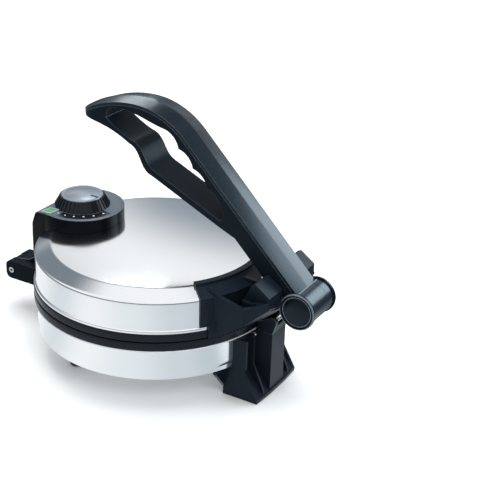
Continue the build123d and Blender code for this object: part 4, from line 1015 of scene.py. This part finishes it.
# Painted shade: the floor turns grey where occlusion finds the cooker close above it.
closeness = place_node(tree, "AmbientOcclusion", {"samples": 8}, Distance=CONTACT_REACH)
open_share = remap(tree, closeness.outputs["AO"], *CONTACT_OPEN)
shaded = blend(tree, open_share, PAINTED_SHADE_GREY, FLOOR_WHITE)
tree.links.new(shaded, shader.inputs["Base Color"])
centred = combine(tree, "SUBTRACT", place_in_space(tree), (axis.x, axis.y, 0.0))[0]
away = combine(tree, "LENGTH", centred)["Value"]
paler = remap(tree, away, *GLOW_REACH, *CAMERA_GLOW, curve="LINEAR")
glow = calculate(tree, "MULTIPLY", rays["Is Camera Ray"], paler)
tree.links.new(glow, shader.inputs["Emission Strength"])
print("camera glow %.2f near, %.2f far" % CAMERA_GLOW)

# %% [markdown]
# ## What the steel sees of the floor
# A polished wall stands upright, so half of what it shows is floor. On an even white floor it would
# look like paper: steel reads as steel by its pale and dark bands. Cards could be stood round the
# cooker, but their shadows would show, so only mirror rays see the floor in pale and darker
# sectors, by compass angle round the cooker. Far from the piece that mirrors it, it is darker.

# %% Give the steel its sectors
MIRROR_GLOW = (1.0, 0.35)
MIRROR_REACH = (0.25, 0.34)
SECTOR_START = -60.0
SECTORS = [
    (-40, (0.30, 0.35, 0.40)),
    (40, (0.12, 0.15, 0.18)),
    (62, (0.84, 0.91, 0.95)),
    (100, (0.95, 0.98, 1.0)),
    (132, (0.74, 0.80, 0.83)),
    (163, (0.97, 0.99, 1.0)),
    (195, (0.84, 0.89, 0.92)),
    (230, (0.66, 0.72, 0.76)),
    (252, (0.56, 0.63, 0.67)),
    (266, (0.86, 0.93, 0.97)),
]
apart = place_node(tree, "SeparateXYZ", Vector=centred).outputs
compass = calculate(tree, "ARCTAN2", apart["Y"], apart["X"])
turns = calculate(tree, "MULTIPLY_ADD", compass, 1 / math.tau, 1 - SECTOR_START / 360)
ramp = place_node(tree, "ValToRGB", Fac=calculate(tree, "FRACT", turns))
stops = ramp.color_ramp.elements
ramp.color_ramp.interpolation = "EASE"
while len(stops) < len(SECTORS):
    stops.new(0.5)
for stop, (angle, grey) in zip(stops, SECTORS):
    stop.position = (angle - SECTOR_START) / 360
    stop.color = tone(*grey)
reach = remap(tree, rays["Ray Length"], *MIRROR_REACH, *MIRROR_GLOW)
seen = place_node(tree, "Emission", Color=ramp.outputs[0], Strength=reach).outputs[0]
views = {"_0": rays["Is Glossy Ray"], "_1": shader.outputs[0], "_2": seen}
choice = place_node(tree, "MixShader", **views).outputs[0]
tree.links.new(choice, tree.nodes["Material Output"].inputs["Surface"])
print("sectors:", len(stops))

# %% [markdown]
# ## Surround
# What polished metal looks like is what it reflects. A picture of a room could be wound round the
# scene, but a few painted patches are easier to move. The camera sees plain white behind the
# cooker. Mirror rays see a white sky that turns blue-grey towards the horizon, and four soft darker
# screens: two at the rear and right give the lid its gradient, one overhead and one to the front
# right keep the handle dark. Everything else gets an even, neutral fill.

# %% Paint the surround
SKY_WHITE, HAZE_GREY = tone(0.98, 0.99, 1.0), tone(0.16, 0.20, 0.24)
FILL_TOP, FILL_LOW = tone(0.80, 0.81, 0.82), tone(0.12, 0.125, 0.13)
# How far from straight up the sky and the fill turn from their high tone to their low one
SKY_TURNS, FILL_TURNS = (70.0, 84.0), (25.0, 85.0)
SCREENS = [
    # compass angle, height angle, full within, gone beyond, tone
    (74, 34, 14.0, 33.0, (0.20, 0.235, 0.265)),
    (25, 15, 6.0, 16.0, (0.22, 0.27, 0.32)),
    (0, 50, 8.0, 24.0, (0.10, 0.12, 0.15)),
    (-40, 32, 12.0, 26.0, (0.14, 0.17, 0.21)),
]
world = bpy.data.worlds.new("studio")
bpy.context.scene.world = world
world.use_nodes = True
tree = world.node_tree
rays = place_node(tree, "LightPath").outputs
way = place_node(tree, "TexCoord").outputs["Generated"]


def cone_mask(centre, inner, outer):
    """1 within the inner angle of a direction, falling smoothly to 0 at the outer angle."""
    facing = combine(tree, "DOT_PRODUCT", way, centre)["Value"]
    return remap(tree, facing, math.cos(math.radians(outer)), math.cos(math.radians(inner)))


sky = blend(tree, cone_mask(UPRIGHT, *SKY_TURNS), HAZE_GREY, SKY_WHITE)
for azimuth, elevation, inner, outer, grey in SCREENS:
    screen = cone_mask(direction(azimuth, elevation), inner, outer)
    sky = blend(tree, screen, sky, tone(*grey))
fill = blend(tree, cone_mask(UPRIGHT, *FILL_TURNS), FILL_LOW, FILL_TOP)
sky = blend(tree, rays["Is Glossy Ray"], fill, sky)
sky = blend(tree, rays["Is Camera Ray"], sky, tone(1.0, 1.0, 1.0))
tree.links.new(sky, tree.nodes["Background"].inputs["Color"])
print("screens:", len(SCREENS))

# %% [markdown]
# ## Lamps
# A key from the front left above the camera and a broad overhead box light the cooker. Sun lamps
# would give hard shadows, and boxes that show in the metal would break its bands, so these two are
# hidden from it. Two small cool boxes do show: one near the handle's foot, on its right, runs its
# sheen down the roof and over the barrel, and a smaller one does the same for the crown.

# %% Hang the soft boxes
COOKER = Vector((0, 0, 0.05))
ARM_FOOT = pivot + Vector((0, 0.035, 0.045))
CROWN = Vector((0, axis.y + 0.02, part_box("handle_cover")[1].z))
ARM_TINT, CROWN_TINT = (0.84, 0.95, 1.0), (0.88, 0.97, 1.0)


def soft_box(name, place, aim, width, height, power, mirrored=False, tint=(1.0, 1.0, 1.0)):
    """A rectangular area lamp that the camera doesn't see, nor the metal unless mirrored."""
    data = bpy.data.lights.new(name, "AREA")
    data.shape = "RECTANGLE"
    data.size = width
    data.size_y = height
    data.energy = power
    data.color = tint
    lamp = bpy.data.objects.new(name, data)
    lamp.location = place
    lamp.rotation_euler = (aim - place).to_track_quat("-Z", "Y").to_euler()
    lamp.visible_camera = False
    lamp.visible_glossy = mirrored
    bpy.context.collection.objects.link(lamp)


soft_box("key box", Vector((-1.3, -1.7, 2.0)), COOKER, 1.2, 0.9, power=22.0)
soft_box("overhead box", Vector((0.2, 0.2, 2.2)), COOKER, 1.6, 1.6, power=30.0)
beside = ARM_FOOT + direction(-27, 20) * 0.38
soft_box("arm box", beside, ARM_FOOT, 0.25, 0.21, power=0.72, mirrored=True, tint=ARM_TINT)
beside = CROWN + direction(39, 32) * 0.2
soft_box("crown box", beside, CROWN, 0.10, 0.10, power=0.10, mirrored=True, tint=CROWN_TINT)
print("lamps:", len(bpy.data.lights))

# %% [markdown]
# ## Finish
# The view transform is Standard, so colours come out as they were mixed, where the default would
# soften them as film does.

# %% Set the view transform
bpy.context.scene.view_settings.view_transform = "Standard"
